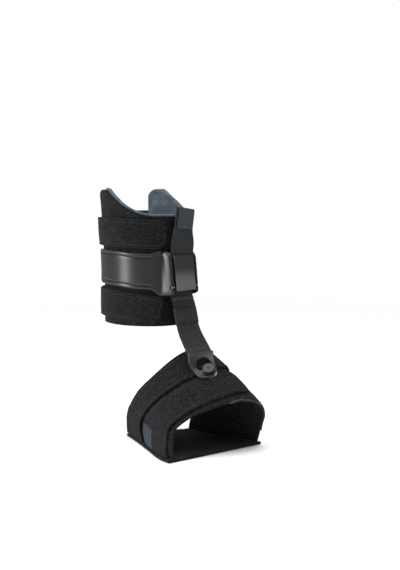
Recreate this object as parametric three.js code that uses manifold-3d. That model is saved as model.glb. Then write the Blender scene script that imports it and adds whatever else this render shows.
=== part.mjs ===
// Drop-foot ankle orthosis for a right foot: a padded ankle cuff with a moulded
// band and a lever clasp, an elastic lift strap, and a barefoot wrap with a button.
// Millimetres. +Z is up from the floor, the toes point to -Y, the inner side is +X.
// The origin lies under the middle of the sole band, on the floor.
import * as THREE from 'three';
import { mergeVertices } from 'three/addons/utils/BufferGeometryUtils.js';
import Module from 'manifold-3d';

// ---- Driving dimensions -------------------------------------------------------

const gap = 0.3;                 // clearance between pieces that touch
const bladeOver = 3;             // how far a cutter runs past what it cuts

// Leg: the cuff is built round the leg axis, turned from the foot by the toe-out
const legAxisY = 50;
const toeOut = THREE.MathUtils.degToRad(10);

// Cuff section at its waist, outside, and how it opens towards the top
const cuffHalfWidth = 36.5;
const cuffFront = 39.3;
const cuffBack = 43.6;
const cuffWaist = 150;
const cuffFlare = 0.085;         // share by which the section grows at cuffFlareTop
const cuffFlareTop = 213;
const cuffBottom = 103.5;
const cuffFrontTop = 199.3;
const cuffEarTop = 222.5;
const earAngle = 106;            // degrees from the front, where the ear is highest
const cuffEnd = 128;             // degrees from the front, where the cuff's fabric ends
const earCorner = 8;
const shellWall = 1.8;
const foamWall = 2.3;
const liningWall = 1.3;
const foamInset = 4;
const liningRise = 1.6;          // the lining shows above the shell's edge
const spineOverlap = 10;         // degrees under each cuff end
const spineTop = 204;

// Closure straps of the cuff, angles in degrees round the leg from the front
const strapWall = 2.8;
const strapWidth = 25;
const strapCorner = 8;
const strapHingeAngle = 62;
const strapSewnAngle = 285;
const strapRiseStart = 11;       // the straps climb between these two angles
const strapRiseEnd = 112;
const upperStrap = { tipAngle: 19.5, tipZ: 183, backZ: 185.6 };
const lowerStrap = { tipAngle: 24.5, tipZ: 116.8, backZ: 122.4 };
const hookWall = 0.8;
const hookInset = 4;

// Moulded band with its two cheeks and the flat base between them
const bandWall = 2.2;
const bandEnd = 140;
const bandCorner = 9;
const bandTop = 167;
const bandBottom = 136;
const bandBackRise = 3;          // the arms climb by this towards the back
const cheekRise = 2.6;           // the cheeks stand above the arms
const cheekDrop = 6;             // and hang below them
const valleyAngle = 32;          // where the cheek starts to rise from the arm
const cheekWidth = 2.6;          // width of the cheek's front face
const cheekSetBack = 2;          // behind the cover's front
const baseWall = 1.2;
const baseBottom = 131;
const baseTop = 168;

// Clasp lever
const coverHalfWidth = 14.2;
const coverWall = 1.4;
const coverTop = 166.7;
const coverFrontTop = 45.6;      // how far the front stands from the leg axis
const coverFrontBottom = 49.3;
const coverLip = 4.6;            // below the axle
const sideClearance = 0.4;
const axleZ = 138;
const axleY = 45;
const axleRadius = 0.9;
const camRadius = 2;
const camTeeth = 14;
const camToothDepth = 0.35;

// Lift strap
const webWall = 1.3;
const webHalfWidth = 13.9;
const webLowerEnd = 120.4;
const tailHalfWidth = 14.6;
const tailHinge = 169.4;
const tailTop = 204.6;
const labelHalfWidth = 12.8;
const labelWall = 0.9;
const labelFrontDrop = 16.5;
const labelBackDrop = 7;
const keeper = { left: 16.5, right: 6.5, z: 127.6, radius: 1.9 };
const patchTop = new THREE.Vector3(0, -45, 119.5);
const patchBottom = new THREE.Vector3(-0.5, -49, 105);
const patchWall = 3;
const elasticHalfWidth = 13.6;
const elasticWall = 1.8;

// Keyhole tab, measured from the button along the tab, and the button
const tabTopOnLeg = new THREE.Vector3(-4.5, -66.5, 82.3);
const tabWall = 2.4;
const tabTip = 7.2;
const tabCorner = 9.5;
const tabTopHalfWidth = 13.5;
const tabWaistHalfWidth = 10.2;
const keyholeRadius = 6.9;
const keyholeShift = 6.6;        // big hole's centre, from the button towards the elastic
const shankRadius = 2.5;
const shankPlay = 0.6;
const headRadius = 5.6;
const headHeight = 3;
const collarRadius = 7;
const flangeRadius = 5;
const flangeWall = 1;
const buttonAlong = 78;
const buttonAngle = 72.5;        // degrees round the foot from the outer side

// Foot wrap: thicknesses and the outer shape of the wrapped foot
const wrapWall = 2.6;
const layerGap = 0.5;            // between the base and the straps on it
const soleWall = 3;
const bindingWall = 1.1;
const bindingWidth = 1.6;
const instepHeight = 118.5;      // height of the ridge above the heel's front
const instepFall = 0.6;          // fall of the ridge for each mm towards the toes
const innerShape = 2.4;          // superellipse power of the inner half
const footSections = [
  // along: mm ahead of the leg axis; outer, inner: half-widths; ridge: the ridge's
  // place towards the inner side; shape: superellipse power of the outer half
  { along: -12, outer: 22, inner: 27, ridge: 2, shape: 1.78 },
  { along: 20, outer: 29, inner: 31.5, ridge: 9, shape: 1.68 },
  { along: 50, outer: 37, inner: 36.5, ridge: 16, shape: 1.52 },
  { along: 80, outer: 45, inner: 46.5, ridge: 20, shape: 1.42 },
  { along: 105, outer: 43.5, inner: 54, ridge: 20, shape: 1.5 },
  { along: 140, outer: 36, inner: 48, ridge: 14, shape: 1.7 },
];
// Edges of the wrap and its straps: mm ahead of the leg axis at each angle round
// the foot, from 0 at the outer side of the sole to 180 at the inner side
const rearEdge = [[0, 0], [10, -2], [21, 10], [39, 32], [60, 46], [90, 56], [125, 50], [180, 22]];
const slitRear = [[0, 38], [8, 28], [16, 31], [27, 43], [40, 57], [64, 73], [90, 79], [125, 74], [180, 58]];
const slitFront = [[0, 46], [10, 36], [19, 38.5], [33, 52], [42, 61], [65, 78], [90, 85], [125, 84], [180, 70]];
const frontEdge = [[0, 88], [15, 80], [22, 77], [35, 85], [43, 91], [60, 101], [85, 107], [125, 108], [180, 92]];
const wrapMargin = 4;            // the base shows this far ahead of the front strap
const wrapTuck = 2.5;            // and is hidden this far under the rear strap
const frontTip = { hinge: 85, end: 100, corner: 6 };
const rearTip = { hinge: 106, end: 136, corner: 7 };
const tipGap = 0.8;               // degrees between a strap and its tip

// ---- Solids and booleans ------------------------------------------------------

const wasm = await Module();
wasm.setup();

// Keeps only the position and joins the vertices that lie together
function weld(geometry) {
  geometry.deleteAttribute('normal');
  geometry.deleteAttribute('uv');
  return mergeVertices(geometry, 1e-4);
}

// Turns the faces outwards when a mapping has turned the box inside out
function facingOut(geometry) {
  const at = geometry.attributes.position;
  const index = geometry.index.array;
  const corner = [0, 1, 2].map(() => new THREE.Vector3());
  let volume = 0;
  for (let i = 0; i < index.length; i += 3) {
    corner.forEach((c, k) => c.fromBufferAttribute(at, index[i + k]));
    volume += corner[0].dot(corner[1].clone().cross(corner[2]));
  }
  if (volume < 0) {
    for (let i = 0; i < index.length; i += 3) {
      [index[i], index[i + 1]] = [index[i + 1], index[i]];
    }
  }
  return geometry;
}

function toSolid(geometry) {
  const joined = weld(geometry.clone());
  return new wasm.Manifold(new wasm.Mesh({
    numProp: 3,
    vertProperties: new Float32Array(joined.attributes.position.array),
    triVerts: new Uint32Array(joined.index.array),
  }));
}

function toGeometry(solid) {
  const mesh = solid.getMesh();
  const geometry = new THREE.BufferGeometry();
  geometry.setAttribute('position', new THREE.BufferAttribute(mesh.vertProperties, 3));
  geometry.setIndex(new THREE.BufferAttribute(mesh.triVerts, 1));
  return geometry;
}

function cut(geometry, ...cutters) {
  return toGeometry(cutters.reduce((solid, c) => solid.subtract(toSolid(c)), toSolid(geometry)));
}

// A curved slab: place(along, across, through) bends a unit box into the piece
function bentSlab(place, alongSteps, acrossSteps) {
  const geometry = weld(new THREE.BoxGeometry(1, 1, 1, alongSteps, acrossSteps, 1));
  const at = geometry.attributes.position;
  const p = new THREE.Vector3();
  for (let i = 0; i < at.count; i += 1) {
    p.fromBufferAttribute(at, i).addScalar(0.5);
    const to = place(p.x, p.y, p.z);
    at.setXYZ(i, to.x, to.y, to.z);
  }
  return facingOut(geometry);
}

// Smooth interpolation through hand-set stops: rows of [place, value]
function smooth(stops, place) {
  let i = 0;
  while (i < stops.length - 2 && place > stops[i + 1][0]) i += 1;
  const slope = (k) => {
    const a = stops[Math.max(k - 1, 0)];
    const b = stops[Math.min(k + 1, stops.length - 1)];
    return (b[1] - a[1]) / (b[0] - a[0]);
  };
  const span = stops[i + 1][0] - stops[i][0];
  const t = (place - stops[i][0]) / span;
  const t2 = t * t;
  const t3 = t2 * t;
  return (2 * t3 - 3 * t2 + 1) * stops[i][1] + (t3 - 2 * t2 + t) * span * slope(i)
    + (3 * t2 - 2 * t3) * stops[i + 1][1] + (t3 - t2) * span * slope(i + 1);
}

const ease = THREE.MathUtils.smoothstep;
const lerp = THREE.MathUtils.lerp;
const rad = THREE.MathUtils.degToRad;

// Distance along a piece for step share s, crowded in the rounded corners at its
// ends, and how far the corner's arc pulls the edge in at that distance
const cornerSteps = 4;
function spread(s, steps, length, startCorner, endCorner) {
  const i = Math.round(s * steps);
  const arc = (k) => 1 - Math.cos((k / cornerSteps) * Math.PI / 2);
  const first = startCorner > 0 ? cornerSteps : 0;
  const last = steps - (endCorner > 0 ? cornerSteps : 0);
  if (i < first) return startCorner * arc(i);
  if (i > last) return length - endCorner * arc(steps - i);
  return lerp(startCorner, length - endCorner, (i - first) / (last - first));
}
function cornerInset(distance, corner) {
  if (corner <= 0 || distance >= corner) return 0;
  return corner - Math.sqrt(corner ** 2 - (corner - distance) ** 2);
}

function extrudeAcross(points, halfWidth, holes = []) {
  // Side outline in (distance in front of the leg axis, height), run along X
  const shape = new THREE.Shape(points.map(([y, z]) => new THREE.Vector2(y, z)));
  shape.holes.push(...holes);
  const geometry = new THREE.ExtrudeGeometry(shape, {
    depth: 2 * halfWidth, bevelEnabled: false, curveSegments: 8,
  });
  // Shape (u, v) at depth w goes to (w, -u, v)
  geometry.applyMatrix4(new THREE.Matrix4().set(
    0, 0, 1, -halfWidth,
    -1, 0, 0, 0,
    0, 1, 0, 0,
    0, 0, 0, 1,
  ));
  return facingOut(weld(geometry));
}

function arcPoints(y, z, radius, from, to, steps) {
  return Array.from({ length: steps + 1 }, (_, i) => {
    const a = rad(lerp(from, to, i / steps));
    return [y + radius * Math.cos(a), z + radius * Math.sin(a)];
  });
}

// ---- The cuff's surface ---------------------------------------------------------

// Point on the cuff, angle in degrees from the front towards the outer side,
// offset outwards along the section's normal
function cuffPoint(angle, z, offset) {
  const a = rad(angle);
  const grow = 1 + cuffFlare * Math.max(0, (z - cuffWaist) / (cuffFlareTop - cuffWaist)) ** 1.5;
  const halfWidth = cuffHalfWidth * grow;
  const depth = Math.cos(a) > 0 ? cuffFront : cuffBack * grow;
  const normal = new THREE.Vector2(-Math.sin(a) / halfWidth, -Math.cos(a) / depth).normalize();
  return new THREE.Vector3(
    -halfWidth * Math.sin(a) + offset * normal.x,
    -depth * Math.cos(a) + offset * normal.y,
    z,
  );
}

const cuffRadius = (cuffHalfWidth + (cuffFront + cuffBack) / 2) / 2;
const arcLength = (degrees) => rad(degrees) * cuffRadius;
const angleOf = (length) => THREE.MathUtils.radToDeg(length / cuffRadius);

// The top edge is level in front, rises to the ears, and each ear has a round corner
function cuffTop(angle) {
  const from = Math.abs(angle);
  const rise = ((from - 30) / (earAngle - 30));
  return lerp(cuffFrontTop, cuffEarTop, Math.max(0, Math.min(rise, 1)) ** 2.2);
}

function cuffLayer(inner, outer, inset, rise) {
  const end = cuffEnd - angleOf(inset);
  const length = arcLength(2 * end);
  const steps = 52;
  return bentSlab((s, t, w) => {
    const along = spread(s, steps, length, earCorner, earCorner);
    const angle = -end + (2 * end * along) / length;
    const corner = cornerInset(Math.min(along, length - along), earCorner);
    const top = cuffTop(angle) + rise - corner;
    const bottom = cuffBottom + Math.max(0, -rise);
    return cuffPoint(angle, lerp(bottom, top, t), lerp(inner, outer, w));
  }, steps, 7);
}

function spinePanel() {
  const reach = 180 - cuffEnd + spineOverlap;
  const outer = -shellWall - gap;
  return bentSlab((s, t, w) => cuffPoint(
    180 - reach + 2 * reach * s,
    lerp(cuffBottom + 1, spineTop, t),
    lerp(outer - foamWall, outer, w),
  ), 20, 6);
}

function strapZ(strap, angle) {
  return lerp(strap.tipZ, strap.backZ, ease(angle, strapRiseStart, strapRiseEnd));
}

// A length of closure strap between two angles, with round corners where asked
function closureStrap(strap, from, to, startCorner, endCorner, steps) {
  const length = arcLength(to - from);
  return bentSlab((s, t, w) => {
    const along = spread(s, steps, length, startCorner, endCorner);
    const angle = from + angleOf(along);
    const corner = cornerInset(along, startCorner) + cornerInset(length - along, endCorner);
    const half = strapWidth / 2 - corner;
    const z = strapZ(strap, angle) + lerp(-half, half, t);
    return cuffPoint(angle, z, gap + lerp(0, strapWall, w));
  }, steps, 3);
}

// The strap's tip is thinner by the hook patch that is sewn under it
function strapTip(strap) {
  const from = strap.tipAngle;
  const length = arcLength(strapHingeAngle - from) - gap;
  const steps = 12;
  return bentSlab((s, t, w) => {
    const along = spread(s, steps, length, strapCorner, 0);
    const half = strapWidth / 2 - cornerInset(along, strapCorner);
    const angle = from + angleOf(along);
    const z = strapZ(strap, angle) + lerp(-half, half, t);
    return cuffPoint(angle, z, lerp(hookWall + 2 * gap, gap + strapWall, w));
  }, steps, 3);
}

function hookPatch(strap) {
  const from = strap.tipAngle + angleOf(hookInset);
  const to = strapHingeAngle - angleOf(hookInset);
  const half = strapWidth / 2 - hookInset;
  return bentSlab((s, t, w) => {
    const angle = lerp(from, to, s);
    return cuffPoint(angle, strapZ(strap, angle) + lerp(-half, half, t), gap + hookWall * w);
  }, 6, 1);
}

// ---- Moulded band and clasp -----------------------------------------------------

const cheekInner = coverHalfWidth + sideClearance;
const webBack = cuffFront + gap + baseWall + 0.2;
const webFront = webBack + webWall;
const coverFrontAt = (z) => lerp(
  coverFrontTop, coverFrontBottom, (coverTop - z) / (coverTop - axleZ + coverLip),
);

// Plan of the band on the outer side: each stop has an angle round the cuff, and the
// cheek's stops give the outer surface's own place (across, in front of the axis)
const cheekFace = (z) => coverFrontAt(z) - cheekSetBack;
const bandStops = [
  { angle: 0, place: () => [0, cuffFront + gap + baseWall] },
  { angle: 22.5, place: () => [cheekInner, cuffFront + gap + baseWall] },
  { angle: 22.8, place: (z) => [cheekInner + 0.2, cheekFace(z)] },
  { angle: 25.5, place: (z) => [cheekInner + cheekWidth, cheekFace(z) - 0.8] },
  { angle: valleyAngle, place: null },
  { angle: valleyAngle + 6, place: null },
];

function bandOuter(angle, z) {
  const side = Math.sign(angle) || 1;
  const turn = Math.abs(angle);
  const onArm = cuffPoint(angle, z, gap + bandWall);
  if (turn >= valleyAngle) return onArm;
  const i = bandStops.findIndex((stop) => turn <= stop.angle);
  const stops = [bandStops[Math.max(i - 1, 0)], bandStops[i]];
  const ends = stops.map((stop) => {
    if (stop.place) {
      const [across, front] = stop.place(z);
      return new THREE.Vector3(-side * across, -front, z);
    }
    return cuffPoint(side * stop.angle, z, gap + bandWall);
  });
  const span = stops[1].angle - stops[0].angle;
  return ends[0].lerp(ends[1], span ? (turn - stops[0].angle) / span : 0);
}

const bandAngles = (() => {
  const cornerAngle = angleOf(bandCorner);
  const baseAngle = bandStops[1].angle;
  const half = [0, 1, 2, 3].map((i) => (baseAngle * i) / 4);
  half.push(...bandStops.slice(1).map((stop) => stop.angle));
  const arm = bandEnd - cornerAngle;
  const from = half[half.length - 1];
  for (let i = 1; i <= 14; i += 1) half.push(lerp(from, arm, i / 14));
  for (let i = 1; i <= cornerSteps; i += 1) {
    half.push(arm + cornerAngle * Math.sin((i / cornerSteps) * Math.PI / 2));
  }
  return [...half.slice(1).reverse().map((a) => -a), ...half];
})();

function bandEdges(angle) {
  const turn = Math.abs(angle);
  const back = bandBackRise * ease(turn, 50, 112);
  const cheek = 1 - ease(turn, valleyAngle - 2, valleyAngle + 14);
  const base = 1 - ease(turn, 22.4, 22.9);
  const corner = cornerInset(arcLength(bandEnd - turn), bandCorner);
  const top = bandTop + back + cheekRise * cheek - corner;
  const bottom = bandBottom + back - cheekDrop * cheek + corner;
  return [lerp(bottom, baseBottom, base), lerp(top, baseTop, base)];
}

function axleCylinder(radius, halfLength) {
  const rod = new THREE.CylinderGeometry(radius, radius, 2 * halfLength, 20);
  rod.rotateZ(Math.PI / 2);
  rod.translate(0, -axleY, axleZ);
  return rod;
}

function mouldedBand() {
  const steps = bandAngles.length - 1;
  const slab = bentSlab((s, t, w) => {
    const angle = bandAngles[Math.round(s * steps)];
    const [bottom, top] = bandEdges(angle);
    const z = lerp(bottom, top, t);
    return cuffPoint(angle, z, gap).lerp(bandOuter(angle, z), w);
  }, steps, 5);
  return cut(slab, axleCylinder(axleRadius + gap, cheekInner + cheekWidth + bladeOver));
}

function claspCover() {
  const back = webFront + 0.5;
  const lipZ = axleZ - coverLip;
  const noseArc = arcPoints(axleY, axleZ, camRadius, -70, -180, 6);
  const outline = [
    [coverFrontTop - 1, coverTop], [coverFrontTop, coverTop - 1],
    [coverFrontBottom, lipZ + 1.5], [coverFrontBottom - 0.4, lipZ],
    [coverFrontBottom - coverWall, lipZ + 0.6],
    ...noseArc, [back, axleZ + 0.5], [back, coverTop],
  ];
  const cavity = [
    [coverFrontTop - coverWall, coverTop - coverWall],
    [coverFrontBottom - coverWall, lipZ - bladeOver],
    [back - bladeOver, lipZ - bladeOver], [back - bladeOver, coverTop - coverWall],
  ];
  return cut(
    extrudeAcross(outline, coverHalfWidth),
    extrudeAcross(cavity, coverHalfWidth - coverWall),
    axleCylinder(axleRadius + 0.1, coverHalfWidth + bladeOver),
  );
}

function claspCam() {
  // A toothed roller on the axle; the teeth face the webbing
  const points = Array.from({ length: 2 * camTeeth }, (_, i) => {
    const a = (i / (2 * camTeeth)) * 2 * Math.PI;
    const radius = camRadius - (i % 2 ? camToothDepth : 0);
    return [axleY + radius * Math.cos(a), axleZ + radius * Math.sin(a)];
  });
  const bore = new THREE.Path();
  bore.absarc(axleY, axleZ, axleRadius + 0.1, 0, 2 * Math.PI, true);
  return extrudeAcross(points, coverHalfWidth - coverWall - gap, [bore]);
}

// ---- Lift strap -------------------------------------------------------------------

// The webbing runs straight down through the clasp and bows forward below it
function liftWebbing() {
  const lean = patchTop.y + webBack + webWall / 2;
  return bentSlab((s, t, w) => {
    const z = lerp(webLowerEnd, tailHinge - gap, s);
    const bow = lean * (1 - ease(z, webLowerEnd - 2, baseBottom - 1));
    return new THREE.Vector3(
      lerp(-webHalfWidth, webHalfWidth, t), -webBack + bow - webWall * w, z,
    );
  }, 14, 1);
}

function strapTail() {
  const tail = new THREE.BoxGeometry(2 * tailHalfWidth, webWall, tailTop - tailHinge);
  tail.translate(0, -(webBack + webWall / 2), (tailTop + tailHinge) / 2);
  return tail;
}

// The label is folded over the tail's top end
function pullLabel() {
  const near = webFront + gap;
  const far = webBack - gap;
  const top = tailTop + gap;
  return extrudeAcross([
    [near, top - labelFrontDrop], [near + labelWall, top - labelFrontDrop],
    [near + labelWall, top + labelWall], [far - labelWall, top + labelWall],
    [far - labelWall, top - labelBackDrop], [far, top - labelBackDrop],
    [far, top], [near, top],
  ], labelHalfWidth);
}

// A rolled end of webbing that stops against the clasp's lower edge
function webbingKeeper() {
  const front = -patchTop.y + webWall + gap + keeper.radius + 0.2;
  const length = keeper.left + keeper.right;
  const roll = new THREE.CylinderGeometry(keeper.radius, keeper.radius, length, 18);
  roll.rotateZ(Math.PI / 2);
  roll.translate((keeper.right - keeper.left) / 2, -front, keeper.z);
  return roll;
}

// Straight strip between two points of the leg's frame, level across
function strip(from, to, halfWidth, wall, alongSteps) {
  const run = to.clone().sub(from);
  const normal = new THREE.Vector3(0, run.z, -run.y).normalize();
  return bentSlab((s, t, w) => from.clone().addScaledVector(run, s)
    .addScaledVector(new THREE.Vector3(1, 0, 0), lerp(-halfWidth, halfWidth, t))
    .addScaledVector(normal, lerp(-wall / 2, wall / 2, w)), alongSteps, 1);
}

// ---- The wrapped foot's surface ---------------------------------------------------

const sectionStops = (key) => footSections.map((row) => [row.along, row[key]]);

// Point on the wrapped foot: mm ahead of the leg axis, angle round the foot in
// degrees, and depth below the outermost surface. Each half is a superellipse from
// the sole's edge over to the ridge.
function footPoint(along, angle, depth) {
  const at = (key) => smooth(sectionStops(key), along);
  const a = rad(angle);
  const outerHalf = Math.cos(a) >= 0;
  const power = 2 / (outerHalf ? at('shape') : innerShape);
  const ridge = at('ridge');
  const half = (outerHalf ? ridge + at('outer') : at('inner') - ridge) - depth;
  const height = instepHeight - instepFall * along - depth;
  return new THREE.Vector3(
    ridge - Math.sign(Math.cos(a)) * half * Math.abs(Math.cos(a)) ** power,
    legAxisY - along,
    height * Math.abs(Math.sin(a)) ** power,
  );
}

// Same, but counted so that 0 and 180 degrees stand just above the sole band
function wrapPoint(along, angle, depth) {
  const floor = soleWall + gap;
  const height = instepHeight - instepFall * along - depth;
  const shape = smooth(sectionStops('shape'), along);
  const start = THREE.MathUtils.radToDeg(Math.asin((floor / height) ** (shape / 2)));
  const end = 180 - THREE.MathUtils.radToDeg(Math.asin((floor / height) ** (innerShape / 2)));
  return footPoint(along, lerp(start, end, angle / 180), depth);
}

// A band of the wrap between two edges, over a range of angles
function wrapBand(rear, front, from, to, depths, options = {}) {
  const { steps = 24, across = 3, corner = 0 } = options;
  const degreeLength = 1.05;
  const length = (to - from) * degreeLength;
  return bentSlab((s, t, w) => {
    const along = spread(s, steps, length, 0, corner);
    const angle = from + along / degreeLength;
    const inset = cornerInset(length - along, corner);
    const v = lerp(rear(angle) + inset, front(angle) - inset, t);
    return wrapPoint(v, angle, lerp(depths[0], depths[1], w));
  }, steps, across);
}

const edge = (stops, shift = 0) => (angle) => smooth(stops, angle) + shift;
const strapDepths = [wrapWall, 0];
const baseDepths = [2 * wrapWall + layerGap, wrapWall + layerGap];
const tipDepths = [wrapWall - hookWall - gap, 0];
const hookDepths = [wrapWall, wrapWall - hookWall];

function soleBand() {
  const side = (key, sign, from, to) => Array.from({ length: 13 }, (_, i) => {
    const along = lerp(from, to, i / 12);
    return new THREE.Vector2(sign * smooth(sectionStops(key), along), legAxisY - along);
  });
  const outer = side('outer', -1, edge(rearEdge)(0), edge(frontEdge, wrapMargin)(0));
  const inner = side('inner', 1, edge(frontEdge, wrapMargin)(180), edge(rearEdge)(180));
  const shape = new THREE.Shape([...outer, ...inner]);
  return weld(new THREE.ExtrudeGeometry(shape, { depth: soleWall, bevelEnabled: false }));
}

// ---- Button and keyhole tab ---------------------------------------------------------

const buttonFoot = footPoint(buttonAlong, buttonAngle, 0);
const buttonAxis = (() => {
  const step = 0.5;
  const forward = footPoint(buttonAlong + step, buttonAngle, 0)
    .sub(footPoint(buttonAlong - step, buttonAngle, 0));
  const around = footPoint(buttonAlong, buttonAngle + step, 0)
    .sub(footPoint(buttonAlong, buttonAngle - step, 0));
  const normal = forward.cross(around).normalize();
  return normal.z < 0 ? normal.negate() : normal;
})();

// Turned piece on the button's axis; heights count from the wrap's surface
function turned(profile, segments = 28) {
  const geometry = new THREE.LatheGeometry(profile.map(([r, h]) => new THREE.Vector2(r, h)), segments);
  const turn = new THREE.Quaternion().setFromUnitVectors(new THREE.Vector3(0, 1, 0), buttonAxis);
  geometry.applyQuaternion(turn);
  geometry.translate(buttonFoot.x, buttonFoot.y, buttonFoot.z);
  return facingOut(weld(geometry));
}

const tabUnder = gap + 0.2;
const tabOver = tabUnder + tabWall;
const headUnder = tabOver + gap;
// The base's two faces under the button, along its axis
const [baseUnder, baseOver] = baseDepths.map((depth) => (
  footPoint(buttonAlong, buttonAngle, depth).sub(buttonFoot).dot(buttonAxis)
));

function legToWorld(point) {
  return point.clone().applyAxisAngle(new THREE.Vector3(0, 0, 1), toeOut)
    .add(new THREE.Vector3(0, legAxisY, 0));
}

const tabHeel = buttonFoot.clone().addScaledVector(buttonAxis, tabUnder);
const tabTop = legToWorld(tabTopOnLeg);
const tabDirection = tabTop.clone().sub(tabHeel).projectOnPlane(buttonAxis).normalize();
const elasticEnd = legToWorld(patchBottom);
const elasticDirection = elasticEnd.clone().sub(tabTop).normalize();
const tabAcross = tabDirection.clone().cross(buttonAxis).normalize();
const tabRise = tabTop.distanceTo(tabHeel);
const patchAcross = new THREE.Vector3(1, 0, 0).applyAxisAngle(new THREE.Vector3(0, 0, 1), toeOut);
const elasticAcross = new THREE.Vector3(1, 0, 0);

// Cubic through two ends with their directions, as a place on a centre line
function hermite(a, aDirection, b, bDirection, pull, t) {
  const ends = new THREE.CubicBezierCurve3(
    a, a.clone().addScaledVector(aDirection, pull), b.clone().addScaledVector(bDirection, -pull), b,
  );
  return { point: ends.getPoint(t), tangent: ends.getTangent(t) };
}

// Centre line, width direction and normal of the tab at a distance from the button
function tabFrame(q) {
  if (q <= 0) {
    return {
      point: tabHeel.clone().addScaledVector(tabDirection, q), across: tabAcross, normal: buttonAxis,
    };
  }
  const t = q / tabRise;
  const { point, tangent } = hermite(tabHeel, tabDirection, tabTop, elasticDirection, tabRise / 3, t);
  const across = tabAcross.clone().lerp(elasticAcross, ease(t, 0.3, 1)).normalize();
  const normal = across.clone().cross(tangent).normalize();
  return { point, across, normal };
}

function tabPoint(q, p, h) {
  const { point, across, normal } = tabFrame(q);
  return point.addScaledVector(across, p).addScaledVector(normal, h);
}

function keyholeTab() {
  const steps = 22;
  const length = tabTip + tabRise;
  const slab = bentSlab((s, t, w) => {
    const along = spread(s, steps, length, tabCorner, 0);
    const inset = cornerInset(along, tabCorner);
    const flare = ease(along, tabTip, length);
    const half = lerp(tabWaistHalfWidth, tabTopHalfWidth, flare) - inset;
    return tabPoint(along - tabTip, lerp(-half, half, t), tabWall * w);
  }, steps, 6);
  const outline = new THREE.Shape();
  const slot = shankRadius + shankPlay;
  const meet = Math.asin(slot / keyholeRadius);
  outline.absarc(0, keyholeShift, keyholeRadius, -Math.PI / 2 + meet, 1.5 * Math.PI - meet, false);
  outline.absarc(0, 0, slot, Math.PI, 2 * Math.PI, false);
  const cutter = new THREE.ExtrudeGeometry(outline, {
    depth: tabWall + 4 * bladeOver, bevelEnabled: false, curveSegments: 12,
  });
  const place = new THREE.Matrix4().makeBasis(tabAcross, tabDirection, buttonAxis);
  place.setPosition(tabHeel.clone().addScaledVector(buttonAxis, -bladeOver));
  cutter.applyMatrix4(place);
  return cut(slab, facingOut(weld(cutter)));
}

function liftElastic() {
  const start = tabTop.clone().addScaledVector(elasticDirection, gap);
  const rise = legToWorld(patchTop).sub(elasticEnd).normalize();
  const end = elasticEnd.clone().addScaledVector(rise, -gap);
  const pull = start.distanceTo(end) / 3;
  return bentSlab((s, t, w) => {
    const { point, tangent } = hermite(start, elasticDirection, end, rise, pull, s);
    const across = elasticAcross.clone().lerp(patchAcross, s).normalize();
    const normal = across.clone().cross(tangent).normalize();
    const half = lerp(tabTopHalfWidth, elasticHalfWidth, ease(s, 0, 0.3));
    return point.addScaledVector(across, lerp(-half, half, t))
      .addScaledVector(normal, lerp(-elasticWall / 2, elasticWall / 2, w));
  }, 12, 1);
}

// ---- Materials and assembly -----------------------------------------------------------

const finish = (color, roughness, metalness = 0) => (
  new THREE.MeshStandardMaterial({ color, roughness, metalness })
);
const finishes = {
  loopFabric: finish(0x17181a, 0.95),
  foam: finish(0x2b2d30, 0.9),
  lining: finish(0x5f6e7c, 0.9),
  hook: finish(0x101112, 0.8),
  moulded: finish(0x333338, 0.38),
  steel: finish(0xa8abae, 0.3, 1),
  webbing: finish(0x24282a, 0.85),
  label: finish(0x46525b, 0.8),
  elastic: finish(0x1f2224, 0.8),
  gloss: finish(0x141416, 0.15),
};

const leg = new THREE.Group();
leg.rotation.z = toeOut;
leg.position.y = legAxisY;
const foot = new THREE.Group();

function add(group, name, geometry, material) {
  const mesh = new THREE.Mesh(geometry, material);
  mesh.name = name;
  group.add(mesh);
}

function addCuff() {
  add(leg, 'cuff_shell', cuffLayer(-shellWall, 0, 0, 0), finishes.loopFabric);
  const foamOuter = -shellWall - gap;
  const foamInner = foamOuter - foamWall;
  const foamEnd = foamInset + arcLength(spineOverlap);
  add(leg, 'cuff_foam', cuffLayer(foamInner, foamOuter, foamEnd, -foamInset), finishes.foam);
  const liningOuter = foamInner - gap;
  add(leg, 'cuff_lining', cuffLayer(liningOuter - liningWall, liningOuter, 0, liningRise), finishes.lining);
  add(leg, 'spine_panel', spinePanel(), finishes.foam);
  Object.entries({ upper: upperStrap, lower: lowerStrap }).forEach(([name, strap]) => {
    const main = closureStrap(strap, strapHingeAngle, strapSewnAngle, 0, 0, 36);
    add(leg, `${name}_strap`, main, finishes.loopFabric);
    add(leg, `${name}_strap_end`, strapTip(strap), finishes.loopFabric);
    add(leg, `${name}_hook_patch`, hookPatch(strap), finishes.hook);
  });
}

function addClasp() {
  add(leg, 'moulded_band', mouldedBand(), finishes.moulded);
  add(leg, 'clasp_cover', claspCover(), finishes.moulded);
  add(leg, 'clasp_cam', claspCam(), finishes.moulded);
  add(leg, 'clasp_axle', axleCylinder(axleRadius, cheekInner + 1.6), finishes.steel);
}

function addLiftStrap() {
  add(leg, 'lift_webbing', liftWebbing(), finishes.webbing);
  add(leg, 'strap_tail', strapTail(), finishes.webbing);
  add(leg, 'pull_label', pullLabel(), finishes.label);
  add(leg, 'webbing_keeper', webbingKeeper(), finishes.webbing);
  const patch = strip(patchBottom, patchTop, elasticHalfWidth + 0.3, patchWall, 3);
  add(leg, 'woven_patch', patch, finishes.webbing);
  add(foot, 'lift_elastic', liftElastic(), finishes.elastic);
  add(foot, 'keyhole_tab', keyholeTab(), finishes.moulded);
}

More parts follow.
